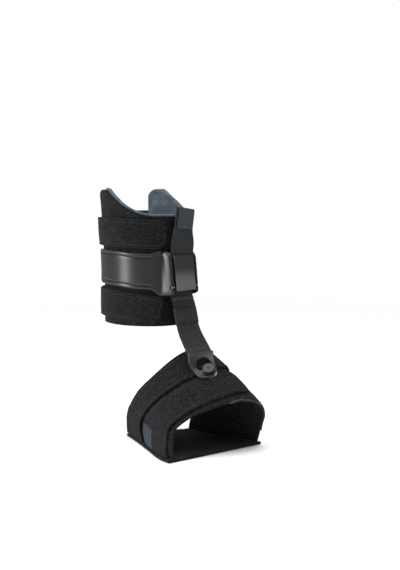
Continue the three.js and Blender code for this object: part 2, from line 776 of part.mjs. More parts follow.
function addButton() {
  const shankTop = headUnder + headHeight - 1.2;
  add(foot, 'button_rivet', turned([
    [0, baseUnder - gap - flangeWall], [flangeRadius, baseUnder - gap - flangeWall],
    [flangeRadius, baseUnder - gap], [shankRadius, baseUnder - gap],
    [shankRadius, shankTop], [0, shankTop],
  ]), finishes.steel);
  const bore = shankRadius + gap;
  add(foot, 'button_collar', turned([
    [bore, baseOver + gap], [collarRadius, baseOver + gap], [collarRadius, 0],
    [collarRadius - 0.6, tabUnder - gap], [bore, tabUnder - gap], [bore, baseOver + gap],
  ]), finishes.steel);
  const dish = 1.4;
  add(foot, 'button_head', turned([
    [bore, headUnder], [headRadius, headUnder], [headRadius, headUnder + headHeight - 1],
    [headRadius - 1, headUnder + headHeight], [dish, headUnder + headHeight],
    [0, headUnder + headHeight - 0.4], [0, shankTop + gap], [bore, shankTop + gap], [bore, headUnder],
  ]), finishes.gloss);
}

function buttonHole(radius) {
  return turned([[0, baseUnder - 2 * bladeOver], [radius, baseUnder - 2 * bladeOver],
    [radius, 2 * bladeOver], [0, 2 * bladeOver]]);
}

function addFootWrap() {
  add(foot, 'sole_band', soleBand(), finishes.loopFabric);
  const rear = edge(rearEdge);
  const front = edge(frontEdge);
  const baseFront = edge(frontEdge, wrapMargin);
  const base = wrapBand(edge(rearEdge, wrapTuck), baseFront, 0, 180, baseDepths, { steps: 30, across: 8 });
  add(foot, 'instep_base', cut(base, buttonHole(shankRadius + gap)), finishes.loopFabric);
  const binding = wrapBand(
    edge(frontEdge, wrapMargin + gap), edge(frontEdge, wrapMargin + gap + bindingWidth), 24, 170,
    [baseDepths[1] + wrapWall / 2 + bindingWall / 2, baseDepths[1] + wrapWall / 2 - bindingWall / 2],
    { across: 1 },
  );
  add(foot, 'base_binding', binding, finishes.lining);
  const hole = buttonHole(collarRadius + gap);
  const rearMain = wrapBand(rear, edge(slitRear), 0, rearTip.hinge, strapDepths);
  add(foot, 'instep_rear_strap', cut(rearMain, hole), finishes.loopFabric);
  const frontMain = wrapBand(edge(slitFront), front, 0, frontTip.hinge, strapDepths);
  add(foot, 'instep_front_strap', cut(frontMain, hole), finishes.loopFabric);
  const tips = [['rear', rearTip, rear, edge(slitRear)], ['front', frontTip, edge(slitFront), front]];
  tips.forEach(([name, tip, back, ahead]) => {
    const end = wrapBand(back, ahead, tip.hinge + tipGap, tip.end, tipDepths, {
      steps: 12, corner: tip.corner,
    });
    add(foot, `instep_${name}_strap_end`, end, finishes.loopFabric);
    const patch = wrapBand(
      (a) => back(a) + hookInset, (a) => ahead(a) - hookInset,
      tip.hinge + hookInset, tip.end - hookInset, hookDepths, { steps: 5, across: 1 },
    );
    add(foot, `instep_${name}_hook_patch`, patch, finishes.hook);
  });
}

addCuff();
addClasp();
addLiftStrap();
addFootWrap();
addButton();

const orthosis = new THREE.Group();
orthosis.add(leg, foot);
export default orthosis;
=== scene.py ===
# Ankle foot orthosis: its fabrics, mouldings, fastenings and stitching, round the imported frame
import math
import bpy
import numpy as np
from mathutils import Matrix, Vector


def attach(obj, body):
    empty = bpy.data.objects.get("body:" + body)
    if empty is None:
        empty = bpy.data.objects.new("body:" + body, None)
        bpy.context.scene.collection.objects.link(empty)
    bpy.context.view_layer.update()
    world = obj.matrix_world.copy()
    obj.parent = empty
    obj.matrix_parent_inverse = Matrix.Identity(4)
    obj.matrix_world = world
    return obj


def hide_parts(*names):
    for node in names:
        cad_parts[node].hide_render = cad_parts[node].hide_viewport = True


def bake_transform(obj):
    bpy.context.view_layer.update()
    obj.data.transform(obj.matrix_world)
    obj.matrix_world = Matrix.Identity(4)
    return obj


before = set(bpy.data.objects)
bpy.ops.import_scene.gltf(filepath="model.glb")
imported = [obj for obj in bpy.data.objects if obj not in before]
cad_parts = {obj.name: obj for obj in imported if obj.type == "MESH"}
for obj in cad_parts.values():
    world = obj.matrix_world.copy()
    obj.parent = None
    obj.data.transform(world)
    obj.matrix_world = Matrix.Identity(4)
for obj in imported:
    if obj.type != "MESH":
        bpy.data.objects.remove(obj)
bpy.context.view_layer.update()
mm = 0.001
print("frame loaded:", len(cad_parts), "parts")


# Camera and light

# Degrees, metres and, for the lens and sensor, millimetres
camera = {
    "azimuth": 35, "pan": 38.47, "tilt": 5.33, "away": 0.78, "height": 0.209, "lens": 54.19, "sensor": 36,
}
studio = {
    # paper: the distances, in millimetres, between which the floor turns into the backdrop
    "floorRadius": 4.0, "floorColour": (0.9, 0.9, 0.91, 1), "backdrop": 1.0, "skyLight": 0.3,
    "paper": (380, 1300),
    # name: place, aims at, width and height, power, in metres and watts
    "lights": {
        "sideSoftbox": ((-1.22, 0.3, 0.36), (0, 0.05, 0.15), (0.42, 1.0), 17),
        "frontSoftbox": ((0.95, -0.75, 0.5), (0, 0.02, 0.15), (0.5, 0.8), 4),
        "topSoftbox": ((-0.15, -0.05, 1.7), (0, 0.03, 0.05), (1.8, 1.8), 40),
    },
}


def makeCamera():
    data = bpy.data.cameras.new("studioCamera")
    data.lens = camera["lens"]
    data.sensor_width = camera["sensor"]
    data.clip_start = 0.01
    shot = bpy.data.objects.new("studioCamera", data)
    turn = math.radians(camera["azimuth"])
    away = camera["away"]
    shot.location = (-math.sin(turn) * away, legAxisY * mm - math.cos(turn) * away, camera["height"])
    shot.rotation_euler = (math.radians(90 - camera["tilt"]), 0, -math.radians(camera["pan"]))
    bpy.context.scene.collection.objects.link(shot)
    bpy.context.scene.camera = shot


def whiteBeyond(tree):
    # A white backdrop that lights the object less than it shows
    seen = node(tree, "ShaderNodeLightPath").outputs["Is Camera Ray"]
    extra = maths(tree, "MULTIPLY", seen, studio["backdrop"] - studio["skyLight"])
    return maths(tree, "ADD", extra, studio["skyLight"])


def makeStudio():
    scene = bpy.context.scene
    world = bpy.data.worlds.new("studioSky")
    world.use_nodes = True
    tree = world.node_tree
    tree.links.new(whiteBeyond(tree), tree.nodes["Background"].inputs["Strength"])
    tree.nodes["Background"].inputs["Color"].default_value = (1, 1, 1, 1)
    scene.world = world
    scene.view_settings.view_transform = "Standard"
    for name, (place, aim, size, power) in studio["lights"].items():
        data = bpy.data.lights.new(name, "AREA")
        data.shape = "RECTANGLE"
        data.size, data.size_y = size
        data.energy = power
        lamp = bpy.data.objects.new(name, data)
        lamp.location = place
        lamp.rotation_euler = (Vector(aim) - Vector(place)).to_track_quat("-Z", "Y").to_euler()
        scene.collection.objects.link(lamp)
    mesh = bpy.data.meshes.new("studioFloor")
    rim = np.linspace(0, 2 * np.pi, 65)[:-1]
    circle = studio["floorRadius"] * np.stack([np.cos(rim), np.sin(rim), 0 * rim], 1)
    mesh.from_pydata(circle.tolist(), [], [list(range(64))])
    floor = bpy.data.objects.new("studioFloor", mesh)
    scene.collection.objects.link(floor)
    mesh.materials.append(paperFloor())


# Numbers on curves

def blendTo(a, b, share):
    return a + (b - a) * share


def ease(x, low, high):
    # Smooth step: three squares less two cubes of the share between low and high
    t = np.clip((x - low) / (high - low), 0, 1)
    return t * t * (3 - 2 * t)


def through(stops, x):
    # Hermite cubic through the stops; the slope at a stop is that of the chord between its neighbours
    at = np.array([row[0] for row in stops], float)
    value = np.array([row[1] for row in stops], float)
    after = np.minimum(np.arange(len(at)) + 1, len(at) - 1)
    before = np.maximum(np.arange(len(at)) - 1, 0)
    run = (at[after] - at[before]).reshape((-1,) + (1,) * (value.ndim - 1))
    slope = (value[after] - value[before]) / run
    x = np.asarray(x, float)
    i = np.searchsorted(at[1:-1], x, side="left")
    span = at[i + 1] - at[i]
    t = (x - at[i]) / span
    shape = t.shape + (1,) * (value.ndim - 1)
    t = t.reshape(shape)
    span = span.reshape(shape)
    return ((2 * t**3 - 3 * t**2 + 1) * value[i] + (t**3 - 2 * t**2 + t) * span * slope[i]
            + (3 * t**2 - 2 * t**3) * value[i + 1] + (t**3 - t**2) * span * slope[i + 1])


def cornerInset(distance, corner):
    # A quarter circle: how far a rounded corner pulls the edge in, this far from its end
    if corner <= 0:
        return np.zeros_like(distance)
    d = np.clip(distance, 0, corner)
    return corner - np.sqrt(corner**2 - (corner - d) ** 2)


def grain(*place, cell, seed):
    # Value noise: a hashed number at each lattice point, mixed smoothly across the cell, from -1 to 1
    grid = np.stack(np.broadcast_arrays(*place), -1) / cell
    base = np.floor(grid).astype(np.int64)
    f = grid - base
    f = f * f * (3 - 2 * f)
    primes = np.array([73856093, 19349663, 83492791])[: grid.shape[-1]]
    total = 0
    for corner in np.ndindex(*(2,) * grid.shape[-1]):
        key = ((base + corner) * primes).sum(-1) + seed * 15485863
        key = (key ^ (key >> 15)) * 668265263 & 0x7FFFFFFF
        key = (key ^ (key >> 13)) * 374761393 & 0x7FFFFFFF
        weight = np.prod(np.where(corner, f, 1 - f), -1)
        total = total + weight * (key / 0x3FFFFFFF - 1)
    return total


def unit(vectors):
    return vectors / np.maximum(np.linalg.norm(vectors, axis=-1, keepdims=True), 1e-12)


def stack(x, y, z):
    return np.stack(np.broadcast_arrays(x, y, z), -1).astype(float)


# The leg's and the foot's surfaces, in millimetres; pieces are placed on them

legAxisY = 50
toeOut = math.radians(10)
gap = 0.3


def legToWorld(points):
    # The leg's frame is turned about Z by the toe-out and stands behind the origin
    x, y, z = points[..., 0], points[..., 1], points[..., 2]
    c, s = math.cos(toeOut), math.sin(toeOut)
    return stack(x * c - y * s, x * s + y * c + legAxisY, z)


cuff = {
    "halfWidth": 36.5, "front": 39.3, "back": 43.6, "waist": 150, "flare": 0.085, "flareTop": 213,
    "bottom": 103.5, "frontTop": 199.3, "earTop": 222.5, "earAngle": 106, "end": 128, "corner": 8,
    "shell": 1.8, "foam": 2.3, "lining": 1.3, "liningRise": 1.6,
}
cuffRadius = (cuff["halfWidth"] + (cuff["front"] + cuff["back"]) / 2) / 2


def cuffPlace(angle, z, lift):
    # Two half ellipses round the leg axis that grow above the waist; lift follows the ellipse's normal
    a = np.radians(angle)
    rise = np.maximum(0, (z - cuff["waist"]) / (cuff["flareTop"] - cuff["waist"]))
    grow = 1 + cuff["flare"] * rise**1.5
    half = cuff["halfWidth"] * grow
    depth = np.where(np.cos(a) > 0, cuff["front"], cuff["back"] * grow)
    nx, ny = -np.sin(a) / half, -np.cos(a) / depth
    size = np.hypot(nx, ny)
    return stack(-half * np.sin(a) + lift * nx / size, -depth * np.cos(a) + lift * ny / size, z)


def onCuff(angle, z, lift):
    return legToWorld(cuffPlace(angle, z, lift))


def arc(degrees):
    return np.radians(degrees) * cuffRadius


def arcAngle(length):
    return np.degrees(length / cuffRadius)


def cuffTop(angle):
    # Level in front, then a power curve up to the ears
    share = np.clip((np.abs(angle) - 30) / (cuff["earAngle"] - 30), 0, 1)
    return blendTo(cuff["frontTop"], cuff["earTop"], share**2.2)


foot = {
    "height": 118.5, "fall": 0.6, "innerShape": 2.4, "soleWall": 3,
    # along: outer half-width, inner half-width, place of the ridge, outer superellipse power
    "sections": [
        (-12, (22, 27, 2, 1.78)), (20, (29, 31.5, 9, 1.68)), (50, (37, 36.5, 16, 1.52)),
        (80, (45, 46.5, 20, 1.42)), (105, (43.5, 54, 20, 1.5)), (140, (36, 48, 14, 1.7)),
    ],
}


def footPlace(along, angle, depth):
    # Superellipse from the sole's edge over the ridge, one power and half-width for each side
    outer, inner, ridge, shape = np.moveaxis(through(foot["sections"], along), -1, 0)
    a = np.radians(angle)
    onOuter = np.cos(a) >= 0
    power = 2 / np.where(onOuter, shape, foot["innerShape"])
    half = np.where(onOuter, ridge + outer, inner - ridge) - depth
    height = foot["height"] - foot["fall"] * along - depth
    x = ridge - np.sign(np.cos(a)) * half * np.abs(np.cos(a)) ** power
    return stack(x, legAxisY - along, height * np.abs(np.sin(a)) ** power)


def onWrap(along, angle, depth):
    # The same, counted so that 0 and 180 degrees stand just above the sole band
    along, angle, depth = np.broadcast_arrays(along, angle, depth)
    height = foot["height"] - foot["fall"] * along - depth
    level = (foot["soleWall"] + gap) / height
    shape = through(foot["sections"], along)[..., 3]
    start = np.degrees(np.arcsin(level ** (shape / 2)))
    end = 180 - np.degrees(np.arcsin(level ** (foot["innerShape"] / 2)))
    return footPlace(along, blendTo(start, end, angle / 180), depth)


# Meshes

def makePiece(name, points, faces, material, uv=None, smooth=True):
    # Points in millimetres; faces are turned to point outwards by the sign of the closed volume
    points = np.asarray(points, float).reshape(-1, 3)
    faces = [np.asarray(block, np.int64) for block in faces if len(block)]
    used, order = np.unique(np.concatenate([block.ravel() for block in faces]), return_inverse=True)
    points = points[used]
    if uv is not None:
        uv = np.asarray(uv, float).reshape(-1, 2)[used]
    cursor = 0
    blocks = []
    volume = 0
    for block in faces:
        block = order[cursor:cursor + block.size].reshape(block.shape)
        cursor += block.size
        blocks.append(block)
        for k in range(1, block.shape[1] - 1):
            a, b, c = points[block[:, 0]], points[block[:, k]], points[block[:, k + 1]]
            volume += np.einsum("ij,ij->", a, np.cross(b, c))
    if volume < 0:
        blocks = [block[:, ::-1] for block in blocks]
    mesh = bpy.data.meshes.new(name)
    loops = np.concatenate([block.ravel() for block in blocks])
    totals = np.concatenate([np.full(len(block), block.shape[1]) for block in blocks])
    starts = np.concatenate([[0], np.cumsum(totals)[:-1]])
    mesh.vertices.add(len(points))
    mesh.vertices.foreach_set("co", (points * mm).astype(np.float32).ravel())
    mesh.loops.add(len(loops))
    mesh.loops.foreach_set("vertex_index", loops.astype(np.int32))
    mesh.polygons.add(len(totals))
    mesh.polygons.foreach_set("loop_start", starts.astype(np.int32))
    mesh.polygons.foreach_set("loop_total", totals.astype(np.int32))
    mesh.update(calc_edges=True)
    mesh.polygons.foreach_set("use_smooth", np.full(len(totals), smooth))
    if uv is not None:
        layer = mesh.uv_layers.new(name="cloth")
        layer.data.foreach_set("uv", uv[loops].astype(np.float32).ravel())
    mesh.materials.append(material)
    piece = bpy.data.objects.new(name, mesh)
    bpy.context.scene.collection.objects.link(piece)
    return piece


def gridFaces(index):
    return np.stack([index[:-1, :-1], index[1:, :-1], index[1:, 1:], index[:-1, 1:]], -1).reshape(-1, 4)


def crowded(length, step, edge):
    # Distances from 0 to length, every step and closer together within an edge of both ends
    close = edge * np.array([0, 0.04, 0.14, 0.3, 0.52, 0.76, 1])
    inner = np.linspace(edge, length - edge, max(2, int((length - 2 * edge) / step) + 1))
    return np.unique(np.round(np.concatenate([close, inner, length - close]), 6))


def slab(name, material, place, length, low, high, top, bottom, step=0.7, rounding=1.2, relief=None):
    # A closed strip of cloth. Its two faces are grids of place(s, p, h): s runs along it, p across
    # from low(s) to high(s), and h is top(s) or bottom(s), drawn together along the rim on a quarter
    # circle of the rounding's radius. relief(s, p, rim) is added to the upper face.
    s = crowded(length, step, rounding)[:, None]
    width = float(np.max(high(s) - low(s)))
    share = (crowded(width, step, rounding) / width)[None, :]
    edges = low(s), high(s)
    p = blendTo(edges[0], edges[1], share)
    rim = np.minimum(np.minimum(p - edges[0], edges[1] - p), np.minimum(s, length - s))
    rim = np.maximum(rim, 0)
    swell = np.sqrt(1 - (1 - np.clip(rim / rounding, 0, 1)) ** 2)
    s = np.broadcast_to(s, p.shape)
    upper = top(s) if callable(top) else top
    lower = bottom(s) if callable(bottom) else bottom
    middle = (upper + lower) / 2
    hUpper = middle + (upper - middle) * swell
    hLower = middle + (lower - middle) * swell
    if relief is not None:
        hUpper = hUpper + relief(s, p, rim) * swell
    count = p.size
    faceUp = np.arange(count).reshape(p.shape)
    faceDown = faceUp + count
    for side in (np.s_[0, :], np.s_[-1, :], np.s_[:, 0], np.s_[:, -1]):
        faceDown[side] = faceUp[side]
    points = np.concatenate([place(s, p, hUpper).reshape(-1, 3), place(s, p, hLower).reshape(-1, 3)])
    uv = np.tile(np.stack([s, p], -1).reshape(-1, 2), (2, 1))
    return makePiece(name, points, [gridFaces(faceUp), gridFaces(faceDown)[:, ::-1]], material, uv)


def lathe(name, material, profile, foot, axis, segments=72):
    # Each profile point, radius and height, goes round the axis; points on the axis are joined
    radius, height = np.array(profile, float).T
    turn = np.linspace(0, 2 * np.pi, segments + 1)[:-1]
    side = unit(np.cross(axis, (1.0, 0.2, 0.1)))
    other = np.cross(axis, side)
    ring = np.cos(turn)[:, None] * side + np.sin(turn)[:, None] * other
    points = foot + ring[:, None, :] * radius[None, :, None] + axis * height[None, :, None]
    index = np.arange(points.shape[0] * points.shape[1]).reshape(points.shape[:2])
    index[:, radius <= 0] = index[0, radius <= 0]
    closed = np.concatenate([index, index[:1]], 0)
    closed = np.concatenate([closed, closed[:, :1]], 1)
    faces = gridFaces(closed)
    distinct = [len(set(face)) for face in faces.tolist()]
    quads = faces[np.array(distinct) == 4]
    thin = [list(dict.fromkeys(face)) for face in faces[np.array(distinct) == 3].tolist()]
    return makePiece(name, points, [quads, np.array(thin)], material)


def threadTemplate():
    # One stitch: a short spindle of six sides, a unit long and a unit thick
    turn = np.linspace(0, 2 * np.pi, 7)[:-1]
    rings = [stack(x, r * np.cos(turn), r * np.sin(turn)) for x, r in ((-0.38, 0.82), (0, 1), (0.38, 0.82))]
    points = np.concatenate([[[-0.5, 0, 0]], *rings, [[0.5, 0, 0]]])
    i = np.arange(6)
    j = (i + 1) % 6
    caps = [np.stack([np.zeros(6, int), 1 + j, 1 + i], -1), np.stack([np.full(6, 19), 13 + i, 13 + j], -1)]
    walls = [np.stack([1 + 6 * k + i, 1 + 6 * k + j, 7 + 6 * k + j, 7 + 6 * k + i], -1) for k in (0, 1)]
    return points, np.concatenate(caps), np.concatenate(walls)


def stitch(name, material, lines, pitch=2.6, length=2.0, thickness=0.26, skew=0.0):
    # Stitches along lines of (points, normals): one spindle every pitch, laid along the line.
    # skew turns them in the cloth's plane, one way and the other in turn, for a zigzag.
    template, caps, walls = threadTemplate()
    centres, frames = [], []
    for points, normals in lines:
        step = np.linalg.norm(np.diff(points, axis=0), axis=1)
        at = np.concatenate([[0], np.cumsum(step)])
        places = np.arange(pitch / 2, at[-1], pitch)
        centre = np.stack([np.interp(places, at, points[:, k]) for k in range(3)], -1)
        ahead = np.stack([np.interp(places + 0.3, at, points[:, k]) for k in range(3)], -1)
        behind = np.stack([np.interp(places - 0.3, at, points[:, k]) for k in range(3)], -1)
        up = unit(np.stack([np.interp(places, at, normals[:, k]) for k in range(3)], -1))
        along = unit(ahead - behind)
        side = unit(np.cross(up, along))
        if skew:
            way = skew * np.where(np.arange(len(places)) % 2, 1, -1)[:, None]
            along, side = unit(along + way * side), unit(side - way * along)
        centres.append(centre)
        frames.append(np.stack([along * length, side * thickness, up * thickness], 1))
    centre = np.concatenate(centres)
    frames = np.concatenate(frames)
    points = centre[:, None, :] + np.einsum("tk,nkc->ntc", template, frames)
    shift = np.arange(len(centre))[:, None, None] * len(template)
    faces = [(block[None] + shift).reshape(-1, block.shape[1]) for block in (caps, walls)]
    return makePiece(name, points, faces, material)


def seamLine(place, s, p, h):
    # A line on a surface with its normals, from the surface's own place function
    s, p, h = np.broadcast_arrays(s, p, h)
    base = place(s, p, h)
    return base, unit(place(s, p, h + 0.5) - base)


def applyModifiers(piece):
    ready = piece.evaluated_get(bpy.context.evaluated_depsgraph_get())
    mesh = bpy.data.meshes.new_from_object(ready)
    old = piece.data
    piece.modifiers.clear()
    piece.data = mesh
    bpy.data.meshes.remove(old)


def carve(piece, *tools):
    # Cuts the tools' shapes out of the piece, and clears the tools away
    for tool in tools:
        cut = piece.modifiers.new("cut", "BOOLEAN")
        cut.operation = "DIFFERENCE"
        cut.solver = "EXACT"
        cut.object = tool
    bpy.context.view_layer.update()
    applyModifiers(piece)
    for tool in tools:
        bpy.data.objects.remove(tool)


def join(piece, body, slot, *nodes):
    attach(piece, body)
    if nodes:
        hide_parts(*nodes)
    return piece


def joinAcross(piece, bodies, slot, start, end, *nodes):
    tuple(np.asarray(start) * mm)
    tuple(np.asarray(end) * mm)
    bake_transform(piece)
    if nodes:
        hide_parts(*nodes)
    return piece


# Materials

def newMaterial(name, **fixed):
    material = bpy.data.materials.new(name)
    material.use_nodes = True
    shader = material.node_tree.nodes["Principled BSDF"]
    for socket, value in fixed.items():
        shader.inputs[socket.replace("_", " ")].default_value = value
    return material, material.node_tree, shader


def node(tree, kind, settings=None, **inputs):
    made = tree.nodes.new(kind)
    for key, value in (settings or {}).items():
        setattr(made, key, value)
    for key, value in inputs.items():
        socket = made.inputs[int(key[1:])] if key[0] == "i" and key[1:].isdigit() else made.inputs[key]
        if isinstance(value, bpy.types.NodeSocket):
            tree.links.new(value, socket)
        else:
            socket.default_value = value
    return made


def maths(tree, operation, a, b=0.0):
    return node(tree, "ShaderNodeMath", {"operation": operation}, i0=a, i1=b).outputs[0]


def coordinates(tree, source, scale=1.0):
    # Object coordinates are in metres and the cloth's own UV in millimetres; both come out in millimetres
    start = node(tree, "ShaderNodeTexCoord").outputs[source]
    factor = scale * (1 if source == "UV" else 1 / mm)
    return node(tree, "ShaderNodeVectorMath", {"operation": "SCALE"}, Vector=start, Scale=factor).outputs[0]


def noise(tree, place, scale, detail=2.0, roughness=0.5):
    return node(tree, "ShaderNodeTexNoise", Vector=place, Scale=scale, Detail=detail,
                Roughness=roughness).outputs["Fac"]


def ramp(tree, value, low, high, colours):
    made = node(tree, "ShaderNodeValToRGB", Fac=value)
    band = made.color_ramp.elements
    band[0].position, band[1].position = low, high
    band[0].color, band[1].color = [(*colour, 1) for colour in colours]
    return made.outputs["Color"]


def bump(tree, shader, height, distance, strength=1.0):
    made = node(tree, "ShaderNodeBump", Height=height, Distance=distance, Strength=strength)
    tree.links.new(made.outputs["Normal"], shader.inputs["Normal"])


def loopPile(name, dark, light, source="UV"):
    # Brushed loops: cells about half a millimetre across, with paler fibre ends scattered among them
    material, tree, shader = newMaterial(name, Roughness=0.93, Specular_IOR_Level=0.12, Sheen_Weight=0.04,
                                          Sheen_Roughness=0.4)
    place = coordinates(tree, source)
    loops = node(tree, "ShaderNodeTexVoronoi", Vector=place, Scale=1.35).outputs["Distance"]
    fibres = noise(tree, place, 0.85, 4.0, 0.75)
    patches = noise(tree, place, 0.07, 3.0)
    speck = maths(tree, "MULTIPLY", maths(tree, "SUBTRACT", 1.0, loops), fibres)
    speck = maths(tree, "ADD", speck, maths(tree, "MULTIPLY", patches, 0.12))
    tree.links.new(ramp(tree, speck, 0.3, 0.62, (dark, light)), shader.inputs["Base Color"])
    height = maths(tree, "SUBTRACT", fibres, maths(tree, "MULTIPLY", loops, 0.7))
    bump(tree, shader, height, 0.5 * mm, 0.8)
    return material


def knit(name, dark, light, pitch=1.1):
    # Knitted rows: two crossed waves in the cloth's own directions, softened by noise
    material, tree, shader = newMaterial(name, Roughness=0.9, Specular_IOR_Level=0.15, Sheen_Weight=0.05)
    place = coordinates(tree, "UV")
    parts = node(tree, "ShaderNodeSeparateXYZ", Vector=place)
    rate = math.pi / pitch
    rows = maths(tree, "SINE", maths(tree, "MULTIPLY", parts.outputs["X"], rate))
    slant = maths(tree, "ADD", maths(tree, "MULTIPLY", parts.outputs["Y"], rate * 1.4),
                  maths(tree, "MULTIPLY", rows, 0.9))
    eyes = maths(tree, "MULTIPLY", maths(tree, "SINE", slant), rows)
    wear = noise(tree, place, 0.12, 3.0)
    tone = maths(tree, "ADD", maths(tree, "MULTIPLY", eyes, 0.22), wear)
    tree.links.new(ramp(tree, tone, 0.3, 0.75, (dark, light)), shader.inputs["Base Color"])
    bump(tree, shader, maths(tree, "ADD", eyes, noise(tree, place, 2.5)), 0.25 * mm, 0.6)
    return material


def weave(name, dark, light, warp=0.75, weft=0.95, shine=0.62, ribShade=None):
    # Plain weave: the product of two waves tells warp from weft, and its size is the yarn's height
    material, tree, shader = newMaterial(name, Roughness=shine, Specular_IOR_Level=0.25)
    place = coordinates(tree, "UV")
    parts = node(tree, "ShaderNodeSeparateXYZ", Vector=place)
    a = maths(tree, "SINE", maths(tree, "MULTIPLY", parts.outputs["X"], math.pi / weft))
    b = maths(tree, "SINE", maths(tree, "MULTIPLY", parts.outputs["Y"], math.pi / warp))
    crossing = maths(tree, "MULTIPLY", a, b)
    yarn = maths(tree, "POWER", maths(tree, "ABSOLUTE", crossing), 0.6)
    wear = noise(tree, place, 0.25, 4.0, 0.6)
    tone = maths(tree, "ADD", maths(tree, "MULTIPLY", crossing, 0.18), wear)
    if ribShade:
        # Lengthwise ribs: painted shade darkens the grooves, by the size of a sine across the width
        pitch, half = ribShade
        turn = maths(tree, "MULTIPLY", maths(tree, "ADD", parts.outputs["Y"], half), math.pi / pitch)
        paintedGrooveShade = maths(tree, "POWER", maths(tree, "ABSOLUTE", maths(tree, "SINE", turn)), 0.7)
        tone = maths(tree, "MULTIPLY", maths(tree, "ADD", tone, 0.15), paintedGrooveShade)
    tree.links.new(ramp(tree, tone, 0.25, 0.8, (dark, light)), shader.inputs["Base Color"])
    bump(tree, shader, maths(tree, "ADD", yarn, maths(tree, "MULTIPLY", wear, 0.3)), 0.3 * mm, 0.8)
    return material


def moulding(name, colour, roughness, grainScale, grainDepth, wear=0.5):
    # Injection moulding: fine grain, cloudy gloss, and paler rubbed edges
    material, tree, shader = newMaterial(name, Specular_IOR_Level=0.5)
    place = coordinates(tree, "Object")
    clouds = noise(tree, place, 0.06, 4.0)
    fine = noise(tree, place, grainScale, 2.0)
    drawn = node(tree, "ShaderNodeMapping", Vector=place, Scale=(1, 1, 0.08)).outputs[0]
    scuffs = noise(tree, drawn, 1.4, 3.0)
    rubbed = node(tree, "ShaderNodeNewGeometry").outputs["Pointiness"]
    edge = ramp(tree, rubbed, 0.52, 0.62, ((0, 0, 0), (wear, wear, wear)))
    pale = tuple(min(1, c * 2.4 + 0.02) for c in colour)
    body = ramp(tree, clouds, 0.3, 0.75, (colour, tuple(c * 1.25 for c in colour)))
    mix = node(tree, "ShaderNodeMix", {"data_type": "RGBA"})
    tree.links.new(edge, mix.inputs[0])
    tree.links.new(body, mix.inputs[6])
    mix.inputs[7].default_value = (*pale, 1)
    tree.links.new(mix.outputs[2], shader.inputs["Base Color"])
    uneven = maths(tree, "MULTIPLY", maths(tree, "ADD", clouds, scuffs), 0.08)
    gloss = maths(tree, "ADD", roughness - 0.06, uneven)
    tree.links.new(gloss, shader.inputs["Roughness"])
    bump(tree, shader, fine, grainDepth, 0.5)
    return material


def metal(name, colour, roughness):
    # Plated steel: turning marks from stretched noise
    material, tree, shader = newMaterial(name, Metallic=1.0)
    place = coordinates(tree, "Object")
    marks = noise(tree, node(tree, "ShaderNodeMapping", Vector=place, Scale=(0.5, 4, 4)).outputs[0], 1.5, 4.0)
    tree.links.new(ramp(tree, marks, 0.3, 0.7, (tuple(c * 0.75 for c in colour), colour)),
                   shader.inputs["Base Color"])
    gloss = maths(tree, "ADD", roughness, maths(tree, "MULTIPLY", marks, 0.12))
    tree.links.new(gloss, shader.inputs["Roughness"])
    bump(tree, shader, marks, 0.03 * mm, 0.4)
    return material


def polished(name, colour, roughness):
    # Polished moulding with dust specks and hair scratches
    material, tree, shader = newMaterial(name, Specular_IOR_Level=0.3, Coat_Weight=0.05, Coat_Roughness=0.1)
    place = coordinates(tree, "Object")
    dust = noise(tree, place, 2.2, 5.0, 0.8)
    tree.links.new(ramp(tree, dust, 0.45, 0.9, (colour, tuple(c + 0.03 for c in colour))),
                   shader.inputs["Base Color"])
    gloss = maths(tree, "ADD", roughness, maths(tree, "MULTIPLY", dust, 0.15))
    tree.links.new(gloss, shader.inputs["Roughness"])
    bump(tree, shader, dust, 0.02 * mm, 0.3)
    return material


def thread(name, dark, light):
    # Twisted yarn: a fine slanting wave along the stitches
    material, tree, shader = newMaterial(name, Roughness=0.6, Specular_IOR_Level=0.3)
    place = coordinates(tree, "Object")
    twist = noise(tree, place, 3.0, 3.0)
    tree.links.new(ramp(tree, twist, 0.3, 0.7, (dark, light)), shader.inputs["Base Color"])
    bump(tree, shader, twist, 0.1 * mm, 0.6)
    return material


def paperFloor():
    # Faintly clouded paper that passes, further out, into the white of the backdrop
    material, tree, shader = newMaterial("paperFloor", Roughness=0.85, Specular_IOR_Level=0.2)
    place = coordinates(tree, "Object")
    base = studio["floorColour"][:3]
    tone = ramp(tree, noise(tree, place, 0.004, 2.0), 0.2, 0.8, (tuple(c * 0.99 for c in base), base))
    away = node(tree, "ShaderNodeVectorMath", {"operation": "LENGTH"}, i0=place).outputs["Value"]
    near, far = studio["paper"]
    share = ramp(tree, maths(tree, "DIVIDE", away, far), near / far, 1.0, ((0, 0, 0), (1, 1, 1)))
    mix = node(tree, "ShaderNodeMix", {"data_type": "RGBA"})
    tree.links.new(share, mix.inputs[0])
    tree.links.new(tone, mix.inputs[6])
    mix.inputs[7].default_value = (0, 0, 0, 1)
    tree.links.new(mix.outputs[2], shader.inputs["Base Color"])
    shader.inputs["Emission Color"].default_value = (1, 1, 1, 1)
    tree.links.new(maths(tree, "MULTIPLY", share, whiteBeyond(tree)), shader.inputs["Emission Strength"])
    return material


